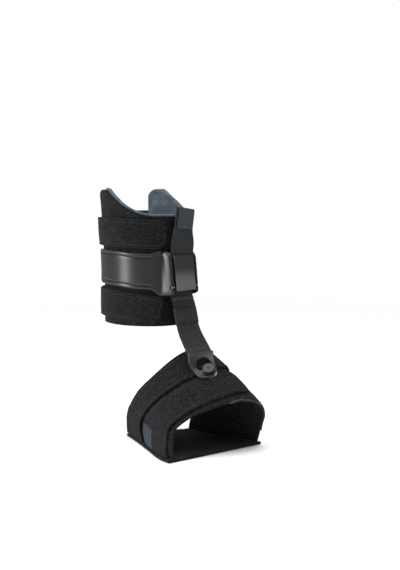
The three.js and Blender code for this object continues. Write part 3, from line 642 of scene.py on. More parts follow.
pile = loopPile("brushedLoopPile", (0.0045, 0.0045, 0.005), (0.05, 0.05, 0.053))
backing = knit("knittedFoamBacking", (0.014, 0.015, 0.017), (0.045, 0.047, 0.052))
lining = knit("blueGreyLining", (0.045, 0.062, 0.08), (0.115, 0.15, 0.18), 0.9)
bindingTape = knit("slateBinding", (0.012, 0.019, 0.024), (0.036, 0.052, 0.064), 0.9)
webbing = weave("charcoalWebbing", (0.004, 0.0048, 0.0052), (0.022, 0.026, 0.028))
# The ribbed elastic's colour carries painted shade in the grooves between its ribs
ribbed = weave("ribbedElastic", (0.006, 0.0068, 0.0072), (0.034, 0.038, 0.04), 1.2, 0.55, ribShade=(3.4, 13.6))
labelTape = weave("slateLabelTape", (0.016, 0.025, 0.031), (0.042, 0.06, 0.073), 0.45, 0.45, 0.55)
hookTape = weave("hookTape", (0.006, 0.006, 0.007), (0.02, 0.02, 0.022), 1.5, 1.5, 0.5)
satin = moulding("satinMoulding", (0.009, 0.009, 0.0105), 0.3, 3.0, 0.03 * mm)
matte = moulding("matteMoulding", (0.0085, 0.009, 0.0098), 0.46, 5.0, 0.08 * mm, 0.7)
steel = metal("platedSteel", (0.5, 0.5, 0.51), 0.22)
glossBlack = polished("glossBlack", (0.005, 0.005, 0.0055), 0.22)
darkThread = thread("darkThread", (0.012, 0.0125, 0.014), (0.045, 0.046, 0.05))
blackThread = thread("blackThread", (0.0015, 0.0015, 0.002), (0.006, 0.006, 0.007))
barTackThread = thread("barTackThread", (0.02, 0.022, 0.024), (0.07, 0.075, 0.08))
slateThread = thread("slateThread", (0.05, 0.07, 0.085), (0.12, 0.16, 0.19))
print("materials ready:", len(bpy.data.materials))


# Cuff: outer shell, padded lining and the padded panel at the back

cuffLook = {
    "step": 0.9, "rounding": 0.85, "seam": 3.2, "seamDepth": 0.35, "pile": 0.1, "lumps": 0.25,
    "padStep": 2.2, "padSeam": 5.0, "padSwell": 1.9, "spineSwell": 1.6, "pressure": 4.0,
}


def clothRelief(settings, seed, seam=None):
    # Valleys of a Gaussian section along the seams, plus slow lumps and the pile's own roughness
    def relief(s, p, rim):
        depth = settings["lumps"] * grain(s, p, cell=14, seed=seed)
        depth = depth + settings["pile"] * grain(s, p, cell=0.9, seed=seed + 1)
        depth = depth + settings["pile"] * grain(s, p, cell=2.4, seed=seed + 2)
        if seam:
            depth = depth - settings["seamDepth"] * np.exp(-(((rim - seam) / 0.6) ** 2))
        return depth
    return relief


def makeCuffShell():
    end, corner = cuff["end"], cuff["corner"]
    length = arc(2 * end)

    def angleAt(s):
        return -end + 2 * end * s / length

    def high(s):
        return cuffTop(angleAt(s)) - cornerInset(np.minimum(s, length - s), corner)

    def low(s):
        return cuff["bottom"] + 0 * s

    def place(s, p, h):
        return onCuff(angleAt(s), p, h)

    look = cuffLook
    shell = slab("cuffShell", pile, place, length, low, high, 0, -cuff["shell"], look["step"],
                 look["rounding"], clothRelief(look, 11, look["seam"]))
    join(shell, "cuff", "loop_fabric", "cuff_shell")
    run = np.linspace(4, length - 4, 400)
    inset = look["seam"]
    lines = [
        seamLine(place, run, high(run) - inset, 0.0),
        seamLine(place, run, low(run) + inset, 0.0),
    ]
    for s in (inset, length - inset):
        lines.append(seamLine(place, s, np.linspace(low(0) + 5, high(np.array(s)) - 4, 120), 0.0))
    sewn = stitch("cuffShellStitching", darkThread, lines)
    join(sewn, "cuff", "loop_fabric")


def inflate(piece, free, swell, pressure):
    # Cloth under pressure from inside, held where free is 0 and let out where it is 1; no point
    # moves further than swell, in millimetres.
    mesh = piece.data
    rest = np.zeros(len(mesh.vertices) * 3, np.float32)
    mesh.vertices.foreach_get("co", rest)
    rest = rest.reshape(-1, 3).astype(float)
    held = piece.vertex_groups.new(name="held")
    for index in np.flatnonzero(free < 0.5).tolist():
        held.add([index], 1.0, "REPLACE")
    cloth = piece.modifiers.new("padding", "CLOTH")
    cloth.settings.effector_weights.gravity = 0
    cloth.settings.use_pressure = True
    cloth.settings.uniform_pressure_force = pressure
    cloth.settings.vertex_group_mass = "held"
    cloth.settings.tension_stiffness = 12
    cloth.settings.bending_stiffness = 2
    scene = bpy.context.scene
    for number in range(1, 21):
        scene.frame_set(number)
    ready = piece.evaluated_get(bpy.context.evaluated_depsgraph_get())
    moved = np.zeros(len(ready.data.vertices) * 3, np.float32)
    ready.data.vertices.foreach_get("co", moved)
    shift = moved.reshape(-1, 3) - rest
    size = np.linalg.norm(shift, axis=1, keepdims=True)
    most = swell * mm
    shift = shift * np.minimum(1, most * np.tanh(size / most) / np.maximum(size, 1e-9))
    piece.modifiers.clear()
    piece.vertex_groups.clear()
    mesh.vertices.foreach_set("co", (rest + shift).astype(np.float32).ravel())
    mesh.update()
    scene.frame_set(1)


def pad(name, material, place, length, low, high, top, bottom, step, seam, swell):
    # A closed pad whose inner face swells between its seams; the outer face and the rim stay put
    piece = slab(name, material, place, length, low, high, top, bottom, step, 1.6)
    layer = np.zeros(len(piece.data.loops) * 2, np.float32)
    piece.data.uv_layers["cloth"].data.foreach_get("uv", layer)
    owner = np.zeros(len(piece.data.loops), np.int32)
    piece.data.loops.foreach_get("vertex_index", owner)
    sp = np.zeros((len(piece.data.vertices), 2))
    sp[owner] = layer.reshape(-1, 2)
    co = np.zeros(len(piece.data.vertices) * 3, np.float32)
    piece.data.vertices.foreach_get("co", co)
    co = co.reshape(-1, 3) / mm
    s, p = sp[:, 0], sp[:, 1]
    middle = place(s, p, (top(s) + bottom(s)) / 2 if callable(top) else (top + bottom) / 2 + 0 * s)
    outward = place(s, p, 50.0) - place(s, p, 49.0)
    inside = np.einsum("ij,ij->i", co - middle, outward) < -0.2
    rim = np.minimum(np.minimum(p - low(s), high(s) - p), np.minimum(s, length - s))
    inflate(piece, (inside & (rim > seam)).astype(float), swell, cuffLook["pressure"])
    smoother = piece.modifiers.new("smoother", "SUBSURF")
    smoother.levels = smoother.render_levels = 1
    return piece


def makeCuffPad():
    end, corner = cuff["end"], cuff["corner"]
    length = arc(2 * end)
    outer = -cuff["shell"] - gap
    inner = outer - cuff["foam"] - gap - cuff["lining"]
    panel = outer - cuff["foam"] - gap

    def angleAt(s):
        return -end + 2 * end * s / length

    def high(s):
        rim = cornerInset(np.minimum(s, length - s), corner)
        return cuffTop(angleAt(s)) + cuff["liningRise"] - rim

    def low(s):
        return cuff["bottom"] + 0.2 + 0 * s

    def top(s):
        # Full thickness between the ends, and only the lining's where the back panel tucks in
        return blendTo(outer, panel, ease(np.abs(angleAt(s)), 112, 117))

    def bottom(s):
        return inner + 0 * s

    piece = pad("cuffLiningPad", lining, lambda s, p, h: onCuff(angleAt(s), p, h), length, low, high,
                top, bottom, cuffLook["padStep"], cuffLook["padSeam"], cuffLook["padSwell"])
    join(piece, "cuff", "lining", "cuff_lining", "cuff_foam")
    run = np.linspace(6, length - 6, 400)
    place = lambda s, p, h: onCuff(angleAt(s), p, -h)
    lines = [seamLine(place, run, high(run) - 4.2, -inner + 0.1),
             seamLine(place, run, low(run) + 4.2, -inner + 0.1)]
    join(stitch("cuffLiningStitching", darkThread, lines), "cuff", "lining")


def makeSpinePad():
    reach = 180 - cuff["end"] + 10
    length = arc(2 * reach)
    outer = -cuff["shell"] - gap
    piece = pad("spinePad", backing, lambda s, p, h: onCuff(180 - reach + arcAngle(s), p, h), length,
                lambda s: cuff["bottom"] + 1 + 0 * s, lambda s: 204 + 0 * s, outer, outer - cuff["foam"],
                cuffLook["padStep"], arc(12), cuffLook["spineSwell"])
    join(piece, "cuff", "foam", "spine_panel")


makeCuffShell()
makeCuffPad()
makeSpinePad()
print("cuff made")


# Closure straps of the cuff

strap = {
    "wall": 2.8, "width": 25, "corner": 8, "hinge": 62, "sewn": 285, "riseStart": 11,
    "riseEnd": 112, "tips": {"upper": 19.5, "lower": 24.5},
    "hookWall": 0.8, "hookInset": 4, "step": 0.62, "rounding": 1.3, "seam": 3.0, "seamDepth": 0.5,
    "pile": 0.09, "lumps": 0.16, "bendBack": -14, "bendFront": -24,
    "heights": {"upper": (183, 185.6), "lower": (116.8, 122.4)}, "slants": {"upper": 0.16, "lower": 0.27},
}


def strapMiddle(name, angle):
    tip, back = strap["heights"][name]
    return blendTo(tip, back, ease(angle, strap["riseStart"], strap["riseEnd"]))


def sewnBox(place, s0, s1, p0, p1, h):
    # A stitched rectangle with its two diagonals
    corners = [(s0, p0), (s1, p0), (s1, p1), (s0, p1), (s0, p0), (s1, p1)]
    corners += [(s1, p0), (s0, p1)]
    lines = []
    for (sa, pa), (sb, pb) in zip(corners[:-1], corners[1:]):
        t = np.linspace(0.04, 0.96, 40)
        lines.append(seamLine(place, blendTo(sa, sb, t), blendTo(pa, pb, t), h))
    return lines


def makeClosureStrap(name, seed):
    first = strap["tips"][name]
    length = arc(strap["sewn"] - first)
    half = strap["width"] / 2
    free = arc(strap["hinge"] - first)

    def angleAt(s):
        return first + arcAngle(s)

    def middle(s):
        return strapMiddle(name, angleAt(s))

    def low(s):
        return middle(s) - half + cornerInset(s, strap["corner"])

    def high(s):
        return middle(s) + half - cornerInset(s, strap["corner"])

    def bottom(s):
        # The underside lies on the hook patch near the tip and on the cuff behind it
        return blendTo(strap["hookWall"] + 2 * gap, gap, ease(s, free - 3, free + 2))

    def place(s, p, h):
        # The tip's end leans: its lower corner lies further back than its upper one
        lag = strap["slants"][name] * (middle(s) + half - p) * (1 - ease(s, 0, free * 0.8))
        return onCuff(angleAt(s + lag), p, h)

    top = gap + strap["wall"]
    cloth = slab(name + "Strap", pile, place, length, low, high, top, bottom, strap["step"],
                 strap["rounding"], clothRelief(strap, seed, strap["seam"]))
    z = float(middle(np.array(free)))
    bend = legToWorld(np.array([[0, strap["bendBack"], z], [0, strap["bendFront"], z]], float))
    bodies = ("cuff", name + "_strap_end")
    joinAcross(cloth, bodies, "loop_fabric", *bend, name + "_strap", name + "_strap_end")
    inset = strap["seam"]
    run = np.linspace(inset, length - 2, 500)
    inner = cornerInset(run - inset, strap["corner"] - inset)
    h = top - 0.25
    ends = np.linspace(-half + strap["corner"], half - strap["corner"], 40)
    lines = [seamLine(place, run, middle(run) - half + inset + inner, h),
             seamLine(place, run, middle(run) + half - inset - inner, h),
             seamLine(place, inset, middle(np.array(inset)) + ends, h)]
    back = float(middle(np.array(length)))
    lines += sewnBox(place, length - 17, length - 3, back - half + 4, back + half - 4, h)
    joinAcross(stitch(name + "StrapStitching", darkThread, lines), bodies, "loop_fabric", *bend)
    hookInset = strap["hookInset"]
    makeHookPatch(name + "HookPatch", place, hookInset, free - hookInset, middle, half - hookInset, gap,
                  strap["hookWall"], name + "_strap_end", name + "_hook_patch")


hooks = {"pitch": 1.7, "height": 0.34, "radius": 0.2, "corner": 1.5}


def makeHookPatch(name, place, start, end, middle, half, base, wall, body, cadNode):
    # A thin backing with rows of little hooks on the side that faces the leg: each hook is a leaning
    # four-sided spike that ends in a knob.
    backingWall = wall - hooks["height"]

    def shifted(s, p, h):
        return place(s + start, p, h)

    length = end - start
    piece = slab(name, hookTape, shifted, length,
                 lambda s: middle(s + start) - half + cornerInset(np.minimum(s, length - s), hooks["corner"]),
                 lambda s: middle(s + start) + half - cornerInset(np.minimum(s, length - s), hooks["corner"]),
                 base + wall, base + hooks["height"], 1.5, backingWall / 2)
    join(piece, body, "hook", cadNode)
    pitch = hooks["pitch"]
    s, p = np.meshgrid(np.arange(1, length - 1, pitch), np.arange(-half + 1, half - 1, pitch))
    s, p = s.ravel(), p.ravel()
    p = p + middle(s + start)
    root = shifted(s, p, base + hooks["height"] + 0.05)
    tip = shifted(s + 0.25, p, base + 0.04)
    along = unit(shifted(s + 0.5, p, base) - shifted(s, p, base))
    side = unit(shifted(s, p + 0.5, base) - shifted(s, p, base))
    corners = [(-1, -1), (1, -1), (1, 1), (-1, 1)]
    rings = [root[:, None] + hooks["radius"] * np.stack([a * along + b * side for a, b in corners], 1),
             tip[:, None] + 1.1 * hooks["radius"] * np.stack([a * along + b * side for a, b in corners], 1)]
    points = np.concatenate(rings, 1)
    k = np.arange(4)
    wallFaces = np.stack([k, (k + 1) % 4, 4 + (k + 1) % 4, 4 + k], -1)
    faces = np.concatenate([wallFaces, [[3, 2, 1, 0]], [[4, 5, 6, 7]]])
    shift = np.arange(len(points))[:, None, None] * 8
    spikes = makePiece(name + "Hooks", points, [(faces[None] + shift).reshape(-1, 4)], hookTape,
                       smooth=False)
    join(spikes, body, "hook")


makeClosureStrap("upper", 21)
makeClosureStrap("lower", 31)
print("closure straps made")


# Moulded band with its cheeks

band = {
    "wall": 2.2, "end": 140, "corner": 9, "top": 167, "bottom": 136, "backRise": 3, "cheekRise": 2.6,
    "cheekDrop": 6, "valley": 32, "baseFront": 40.8, "baseTop": 168, "baseBottom": 131,
    "faceTop": 43.6, "faceBottom": 47.2, "faceHeights": (166.7, 133.4), "topCorner": 8, "bottomCorner": 5,
    "armRound": 1.1, "cheekRound": 2.6, "trackInset": 3.4, "trackDepth": 0.6, "trackFrom": 46, "trackTo": 136,
    "rows": 46, "pinHole": (45, 138), "pinRadius": 1.15,
}


def bandFace(z):
    # The cheek's front edge slopes like the clasp cover and is rounded off at its top and bottom
    high, low = band["faceHeights"]
    front = blendTo(band["faceTop"], band["faceBottom"], (high - z) / (high - low))
    upper = band["top"] + band["cheekRise"] - z
    lower = z - (band["bottom"] - band["cheekDrop"])
    return front - cornerInset(upper, band["topCorner"]) - cornerInset(lower, band["bottomCorner"])


def bandPlan(z):
    # Plan points of one half at each height, as (across, ahead of the leg axis, angle): the base,
    # the cheek's inner wall, its rim with a groove, its outer wall, the valley and the first of the arm.
    face = bandFace(z)
    rows = [(0.0, band["baseFront"], 0), (7, band["baseFront"], 11), (13.4, band["baseFront"], 21.5)]
    rows += [(14.55, band["baseFront"] + 1, 22.3), (14.6, (band["baseFront"] + face) / 2, 22.6)]
    rows += [(14.6, face - 1.6, 22.8), (14.75, face - 0.5, 23)]
    rows += [(15.3, face, 23.3), (15.95, face - 0.35, 23.8)]
    rows += [(16.3, face - 1.0, 24.2), (16.75, face - 0.75, 24.6), (17.25, face - 1.2, 25.2)]
    rows += [(17.9, face - 3.2, 26.4), (18.7, face - 6.2, 28)]
    points = [stack(row[0], row[1] + 0 * z, row[2]) for row in rows]
    arm = {angle: cuffPlace(np.full_like(z, angle), z, gap + band["wall"]) for angle in (30.5, 34, 38)}
    for angle, point in arm.items():
        points.append(np.stack([-point[..., 0], -point[..., 1], np.full_like(z, angle)], -1))
    return np.stack(points)


def bandEdges(turn):
    back = band["backRise"] * ease(turn, 50, 112)
    cheek = 1 - ease(turn, band["valley"] - 2, band["valley"] + 14)
    base = 1 - ease(turn, 22.4, 22.9)
    corner = cornerInset(arc(band["end"] - turn), band["corner"])
    top = band["top"] + back + band["cheekRise"] * cheek - corner
    bottom = band["bottom"] + back - band["cheekDrop"] * cheek + corner
    return blendTo(bottom, band["baseBottom"], base), blendTo(top, band["baseTop"], base)


def makeMouldedBand():
    share = crowded(1, 1 / band["rows"], 0.1)
    plan = 17
    fine = np.unique(np.concatenate([np.arange(0, 5, 0.25), np.arange(5, plan - 1, 0.125), [plan - 1]]))
    armAngles = 38 + arcAngle(crowded(arc(band["end"] - 38), 0.9, 1.2)[1:])
    # The turn, in degrees, of every station of one half
    guide = bandPlan(np.array([150.0]))[:, 0, 2]
    turns = np.concatenate([through(list(enumerate(guide)), fine), armAngles])
    low, high = bandEdges(turns)
    z = blendTo(low[:, None], high[:, None], share[None, :])
    cheekCount = len(fine)
    columns = []
    for k in range(cheekCount):
        points = bandPlan(z[k])
        columns.append(through(list(enumerate(points)), fine[k])[..., :2])
    cheek = np.stack(columns)
    outer = stack(-cheek[..., 0], -cheek[..., 1], z[:cheekCount])
    arm = cuffPlace(armAngles[:, None], z[cheekCount:], gap + band["wall"])
    outer = np.concatenate([outer, arm])
    inner = cuffPlace(turns[:, None], z, gap)
    rim = np.minimum(z - low[:, None], high[:, None] - z)
    rim = np.minimum(rim, arc(band["end"] - turns)[:, None])
    cheekness = (1 - ease(turns, band["valley"] - 6, band["valley"] + 8))[:, None]
    baseness = (1 - ease(turns, 22.2, 22.6))[:, None]
    radius = blendTo(blendTo(band["armRound"], band["cheekRound"], cheekness), 0.6, baseness)
    swell = np.sqrt(1 - (1 - np.clip(rim / radius, 0, 1)) ** 2)
    swell = 0.5 + 0.5 * swell[..., None]
    core = blendTo(inner, outer, 0.5)
    along = ease(turns, band["trackFrom"] - 6, band["trackFrom"] + 4)
    along = along * (1 - ease(turns, band["trackTo"], band["trackTo"] + 2))
    track = band["trackDepth"] * along[:, None] * np.exp(-(((rim - band["trackInset"]) / 0.55) ** 2))
    inwards = unit(inner - outer)
    top = blendTo(inner, outer, swell) + inwards * track[..., None]
    shut = rim <= 1e-6
    under = blendTo(outer, inner, swell)
    top[shut] = core[shut]
    under[shut] = core[shut]
    mirror = np.array([-1, 1, 1])
    top = np.concatenate([(top * mirror)[:0:-1], top])
    under = np.concatenate([(under * mirror)[:0:-1], under])
    count = top.shape[0] * top.shape[1]
    faceUp = np.arange(count).reshape(top.shape[:2])
    faceDown = faceUp + count
    for side in (np.s_[0, :], np.s_[-1, :], np.s_[:, 0], np.s_[:, -1]):
        faceDown[side] = faceUp[side]
    points = legToWorld(np.concatenate([top.reshape(-1, 3), under.reshape(-1, 3)]))
    piece = makePiece("mouldedBand", points, [gridFaces(faceUp), gridFaces(faceDown)[:, ::-1]], satin)
    ahead, level = band["pinHole"]
    tools = [rod("pinHole", (x, -ahead, level), band["pinRadius"], 6) for x in (-17, 17)]
    carve(piece, *tools)
    join(piece, "cuff", "moulded_plastic", "moulded_band")
    lines = []
    for side in (-1, 1):
        for edge in (0, 1):
            angle = np.linspace(band["trackFrom"], band["trackTo"], 300)
            bottom, height = bandEdges(angle)
            level = height - band["trackInset"] if edge else bottom + band["trackInset"]
            lines.append(seamLine(onCuff, side * angle, level, gap + band["wall"] - 0.3))
    join(stitch("bandStitching", blackThread, lines, 2.4, 1.8, 0.5), "cuff", "moulded_plastic")


def rod(name, place, radius, length):
    # A cylinder across the leg's frame
    turn = np.linspace(0, 2 * np.pi, 33)[:-1]
    ends = [stack(place[0] + x, place[1] + radius * np.cos(turn), place[2] + radius * np.sin(turn))
            for x in (-length / 2, length / 2)]
    points = legToWorld(np.concatenate(ends))
    i = np.arange(32)
    j = (i + 1) % 32
    walls = np.stack([i, j, 32 + j, 32 + i], -1)
    return makePiece(name, points, [walls, i[None, ::-1], 32 + i[None]], satin, smooth=False)


makeMouldedBand()
print("band made")


# Clasp: lever cover, cam and axle

clasp = {
    "halfWidth": 14.2, "wall": 1.4, "top": 166.7, "frontTop": 45.6, "frontBottom": 49.3, "lip": 4.6,
    "axle": (45, 138), "back": 42.9, "sideRound": 1.7, "cavityRound": 0.5, "crown": 0.35, "camRadius": 2,
}


def roundedPrism(name, outline, halfWidth, radius, crown=0.0):
    # A side outline, ahead of the leg axis and height, run across X. Towards both sides it shrinks
    # along its own normals on a quarter circle; crown bows its front out in the middle.
    outline = np.asarray(outline, float)
    ahead = np.roll(outline, -1, 0) - outline
    ahead = unit(ahead) + unit(np.roll(ahead, 1, 0))
    normal = unit(np.stack([ahead[:, 1], -ahead[:, 0]], -1))
    area = np.cross(outline, np.roll(outline, -1, 0)).sum()
    normal = normal * (1 if area > 0 else -1)
    steps = np.linspace(0, np.pi / 2, 7)
    side = halfWidth - radius + radius * np.sin(steps)
    pull = radius * (1 - np.cos(steps))
    across = np.concatenate([-side[::-1], np.linspace(-side[0], side[0], 14)[1:-1], side])
    inset = np.concatenate([pull[::-1], np.zeros(12), pull])
    flat = outline[None] - inset[:, None, None] * normal[None]
    middle = outline[:, 0].mean()
    bow = crown * (1 - (across / halfWidth) ** 2)[:, None] * (flat[..., 0] > middle)
    points = legToWorld(stack(across[:, None], -(flat[..., 0] + bow), flat[..., 1]))
    count = len(outline)
    index = np.arange(len(across) * count).reshape(len(across), count)
    closed = np.concatenate([index, index[:, :1]], 1)
    return makePiece(name, points, [gridFaces(closed), index[:1, ::-1], index[-1:]], satin)


def roundCorner(corner, before, after, radius, steps=6):
    # A quarter-like arc that replaces a corner, as a quadratic curve between its two sides
    corner, before, after = (np.array(p, float) for p in (corner, before, after))
    a = corner + unit(before - corner) * radius
    b = corner + unit(after - corner) * radius
    t = np.linspace(0, 1, steps)[:, None]
    return ((1 - t) ** 2 * a + 2 * t * (1 - t) * corner + t**2 * b).tolist()


def makeClaspCover():
    lip = clasp["axle"][1] - clasp["lip"]
    high, frontTop, frontBottom = clasp["top"], clasp["frontTop"], clasp["frontBottom"]
    wall, back = clasp["wall"], clasp["back"]
    ahead, level = clasp["axle"]
    turn = np.radians(np.linspace(-70, -180, 10))
    radius = clasp["camRadius"]
    nose = np.stack([ahead + radius * np.cos(turn), level + radius * np.sin(turn)], -1)
    topCorner, lipCorner = (frontTop, high), (frontBottom, lip)
    inner = (frontBottom - wall, lip + 0.6)
    outline = [(back, high - 0.3), (back + 0.3, high)]
    outline += roundCorner(topCorner, (back, high), lipCorner, 1.8)
    middle = np.linspace(high - 4, lip + 5, 8)
    slope = (frontBottom - frontTop) / (high - lip)
    outline += [(frontTop + (high - z) * slope, z) for z in middle]
    outline += roundCorner(lipCorner, topCorner, inner, 1.3)
    outline += [inner, *nose.tolist(), (back, level + 0.5)]
    cover = roundedPrism("claspCover", outline, clasp["halfWidth"], clasp["sideRound"], clasp["crown"])
    hollow = [(frontTop - wall, high - wall), (frontBottom - wall, lip - 3), (back - 3, lip - 3),
              (back - 3, high - wall)]
    cavity = roundedPrism("claspCavity", hollow, clasp["halfWidth"] - wall, clasp["cavityRound"])
    carve(cover, cavity)
    join(cover, "clasp_lever", "moulded_plastic", "clasp_cover")


def dressNode(name, material):
    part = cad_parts[name]
    part.data.materials.clear()
    part.data.materials.append(material)


makeClaspCover()
dressNode("clasp_cam", satin)
dressNode("clasp_axle", steel)
print("clasp made")


# Lift strap: webbing with its tail and label, keeper, sewn patch and elastic

lift = {
    "back": 41.0, "wall": 1.3, "lowerEnd": 118, "tailTop": 204.6,
    "halfWidth": 13.9, "tailHalfWidth": 14.4, "bowFrom": 119.6, "bowTo": 130, "patchAhead": 45,
    "leanFrom": 174, "leanTo": 192, "lean": 10, "twist": 11, "shear": 0.5,
    "step": 0.5, "rounding": 0.5, "pile": 0.03, "lumps": 0.12,
    "bendLow": 166, "bendHigh": 172.5, "aside": 1.2,
}
label = {"halfWidth": 12.8, "wall": 0.9, "frontDrop": 16.5, "backDrop": 7, "step": 0.5, "rounding": 0.4}
keeper = {"left": 16.5, "right": 6.5, "height": 127.6, "radius": 1.9, "ahead": 48.4, "turns": 2.2}
patch = {"top": (0, -45, 119.5), "bottom": (-0.5, -49, 105), "wall": 3, "halfWidth": 13.9, "step": 0.5,
         "rounding": 0.7, "pile": 0.04, "lumps": 0.1}
elastic = {
    "sewnIn": 1.5, "wall": 1.8, "halfWidth": 13.6, "ribs": 8, "ribDepth": 0.6, "step": 0.4, "rounding": 0.6,
    "tackRows": (1.4, 3.6),
}


def makeLiftStrap():
    length = lift["tailTop"] - lift["lowerEnd"]
    lean = math.tan(math.radians(lift["lean"]))
    bow = lift["patchAhead"] - lift["back"] - lift["wall"] / 2

    def half(s):
        return blendTo(lift["halfWidth"], lift["tailHalfWidth"], ease(s + lift["lowerEnd"], 165, 172))

    def place(s, p, h):
        # Straight up the front of the cuff, bowed forward at its foot and leaning a little at its tip
        z = s + lift["lowerEnd"]
        run = lift["leanTo"] - lift["leanFrom"]
        t = np.clip(z - lift["leanFrom"], 0, run)
        x = lean * (t**2 / (2 * run) + np.maximum(0, z - lift["leanTo"]))
        forward = bow * (1 - ease(z, lift["bowFrom"], lift["bowTo"]))
        turned = ease(z, lift["leanFrom"], lift["leanTo"])
        twist = np.radians(lift["twist"]) * turned
        ahead = lift["back"] + forward + h * np.cos(twist) - p * np.sin(twist)
        x = x + lift["aside"] * ease(z, lift["bendLow"] - 4, lift["bendHigh"] + 6)
        sheared = z - lift["shear"] * lean * turned * p
        return legToWorld(stack(x + p * np.cos(twist) + h * np.sin(twist), -ahead, sheared))

    relief = clothRelief(lift, 41)
    cloth = slab("liftStrap", webbing, place, length, lambda s: -half(s), half, lift["wall"], 0.0,
                 lift["step"], lift["rounding"], relief)
    ends = legToWorld(np.array([[0, -lift["back"], lift[key]] for key in ("bendLow", "bendHigh")], float))
    joinAcross(cloth, ("cuff", "strap_tail"), "webbing", *ends, "lift_webbing", "strap_tail")
    return place, length


def makePullLabel(tail, tailLength):
    # A tape folded over the tail's end: down its front, over the top on a half circle, down its back
    front, over, back = label["frontDrop"], math.pi * (lift["wall"] / 2 + gap), label["backDrop"]
    length = front + over + back
    reach = lift["wall"] / 2 + gap

    def place(s, p, h):
        turn = np.clip((s - front) / over, 0, 1) * math.pi
        away = reach + h
        along = tailLength - front + np.minimum(s, front) - np.maximum(0, s - front - over)
        up = along + away * np.sin(turn)
        return tail(up, p, lift["wall"] / 2 + away * np.cos(turn))

    def relief(s, p, rim):
        fold = 0.12 * np.exp(-(((s - 2.6) / 0.35) ** 2))
        return 0.05 * grain(s, p, cell=3, seed=52) - fold

    tape = slab("pullLabel", labelTape, place, length, lambda s: -label["halfWidth"] + 0 * s,
                lambda s: label["halfWidth"] + 0 * s, label["wall"], 0.0, label["step"], label["rounding"],
                relief)
    join(tape, "strap_tail", "label", "pull_label")
    t = np.linspace(-label["halfWidth"] + 0.8, label["halfWidth"] - 0.8, 60)
    lines = [seamLine(place, 1.3, t, label["wall"] + 0.02)]
    join(stitch("labelStitching", slateThread, lines, 1.5, 1.25, 0.2), "strap_tail", "label")


def makeKeeper():
    # The strap's rolled end: a spiral of cloth, radius falling with the turn, run across the leg;
    # the section is closed by coming back along the spiral one wall further in.
    turn = np.linspace(0, keeper["turns"] * 2 * np.pi, 110)
    wall = 0.5
    outer = keeper["radius"] - (keeper["radius"] - wall) * turn / turn[-1]
    inner = np.maximum(outer - wall, 0.08)
    section = np.concatenate([np.stack([outer * np.cos(turn), outer * np.sin(turn)], -1),
                              np.stack([inner * np.cos(turn), inner * np.sin(turn)], -1)[::-1]])
    across = crowded(keeper["left"] + keeper["right"], 0.7, 0.6) - keeper["left"]
    end = np.minimum(across + keeper["left"], keeper["right"] - across)
    taper = 0.8 + 0.2 * np.sqrt(1 - (1 - np.clip(end / 0.8, 0, 1)) ** 2)
    ahead = keeper["ahead"] + taper[:, None] * section[None, :, 0]
    z = keeper["height"] + taper[:, None] * section[None, :, 1]
    points = legToWorld(stack(across[:, None], -ahead, z))
    count = len(section)
    index = np.arange(len(across) * count).reshape(len(across), count)
    closed = np.concatenate([index, index[:, :1]], 1)
    half = count // 2
    k = np.arange(half - 1)
    cap = np.stack([k, k + 1, count - 2 - k, count - 1 - k], -1)
    faces = [gridFaces(closed), index[0][cap], index[-1][cap[:, ::-1]]]
    girth = np.concatenate([[0], np.cumsum(np.linalg.norm(np.diff(section, axis=0), axis=1))])
    uv = np.stack(np.broadcast_arrays(girth[None, :], across[:, None]), -1)
    roll = makePiece("webbingKeeper", points, faces, webbing, uv)
    join(roll, "cuff", "webbing", "webbing_keeper")


def makeWovenPatch():
    high, low = np.array(patch["top"], float), np.array(patch["bottom"], float)
    run = high - low
    length = np.linalg.norm(run)
    normal = np.array([0, -run[2], run[1]]) / np.hypot(run[1], run[2])

    def place(s, p, h):
        base = low + np.asarray(s)[..., None] / length * run
        return legToWorld(base + stack(p, 0, 0) + np.asarray(h)[..., None] * normal)

    def relief(s, p, rim):
        # The doubled cloth is drawn down along both rows of stitches and stands proud between them
        rows = np.exp(-(((s - 1.6) / 0.5) ** 2)) + np.exp(-(((length - 1.8 - s) / 0.5) ** 2))
        return clothRelief(patch, 61)(s, p, rim) - 0.35 * rows

    half = patch["halfWidth"]
    cloth = slab("wovenPatch", webbing, place, length, lambda s: -half + 0 * s, lambda s: half + 0 * s,
                 patch["wall"] / 2, -patch["wall"] / 2, patch["step"], patch["rounding"], relief)
    join(cloth, "cuff", "webbing", "woven_patch")
    t = np.linspace(-half + 0.8, half - 0.8, 60)
    lines = [seamLine(place, row, t, patch["wall"] / 2 - 0.1) for row in (1.6, length - 1.8)]
    join(stitch("patchStitching", darkThread, lines, 1.9, 1.5, 0.3), "cuff", "webbing")


def bezier(a, aWay, b, bWay, pull, t):
    # Cubic through two ends with their directions: place and direction at each share
    points = np.stack([a, a + aWay * pull, b - bWay * pull, b])
    t = np.asarray(t, float)[..., None]
    place = ((1 - t) ** 3 * points[0] + 3 * t * (1 - t) ** 2 * points[1] + 3 * t**2 * (1 - t) * points[2]
             + t**3 * points[3])
    way = ((1 - t) ** 2 * (points[1] - points[0]) + 2 * t * (1 - t) * (points[2] - points[1])
           + t**2 * (points[3] - points[2]))
    return place, unit(way)


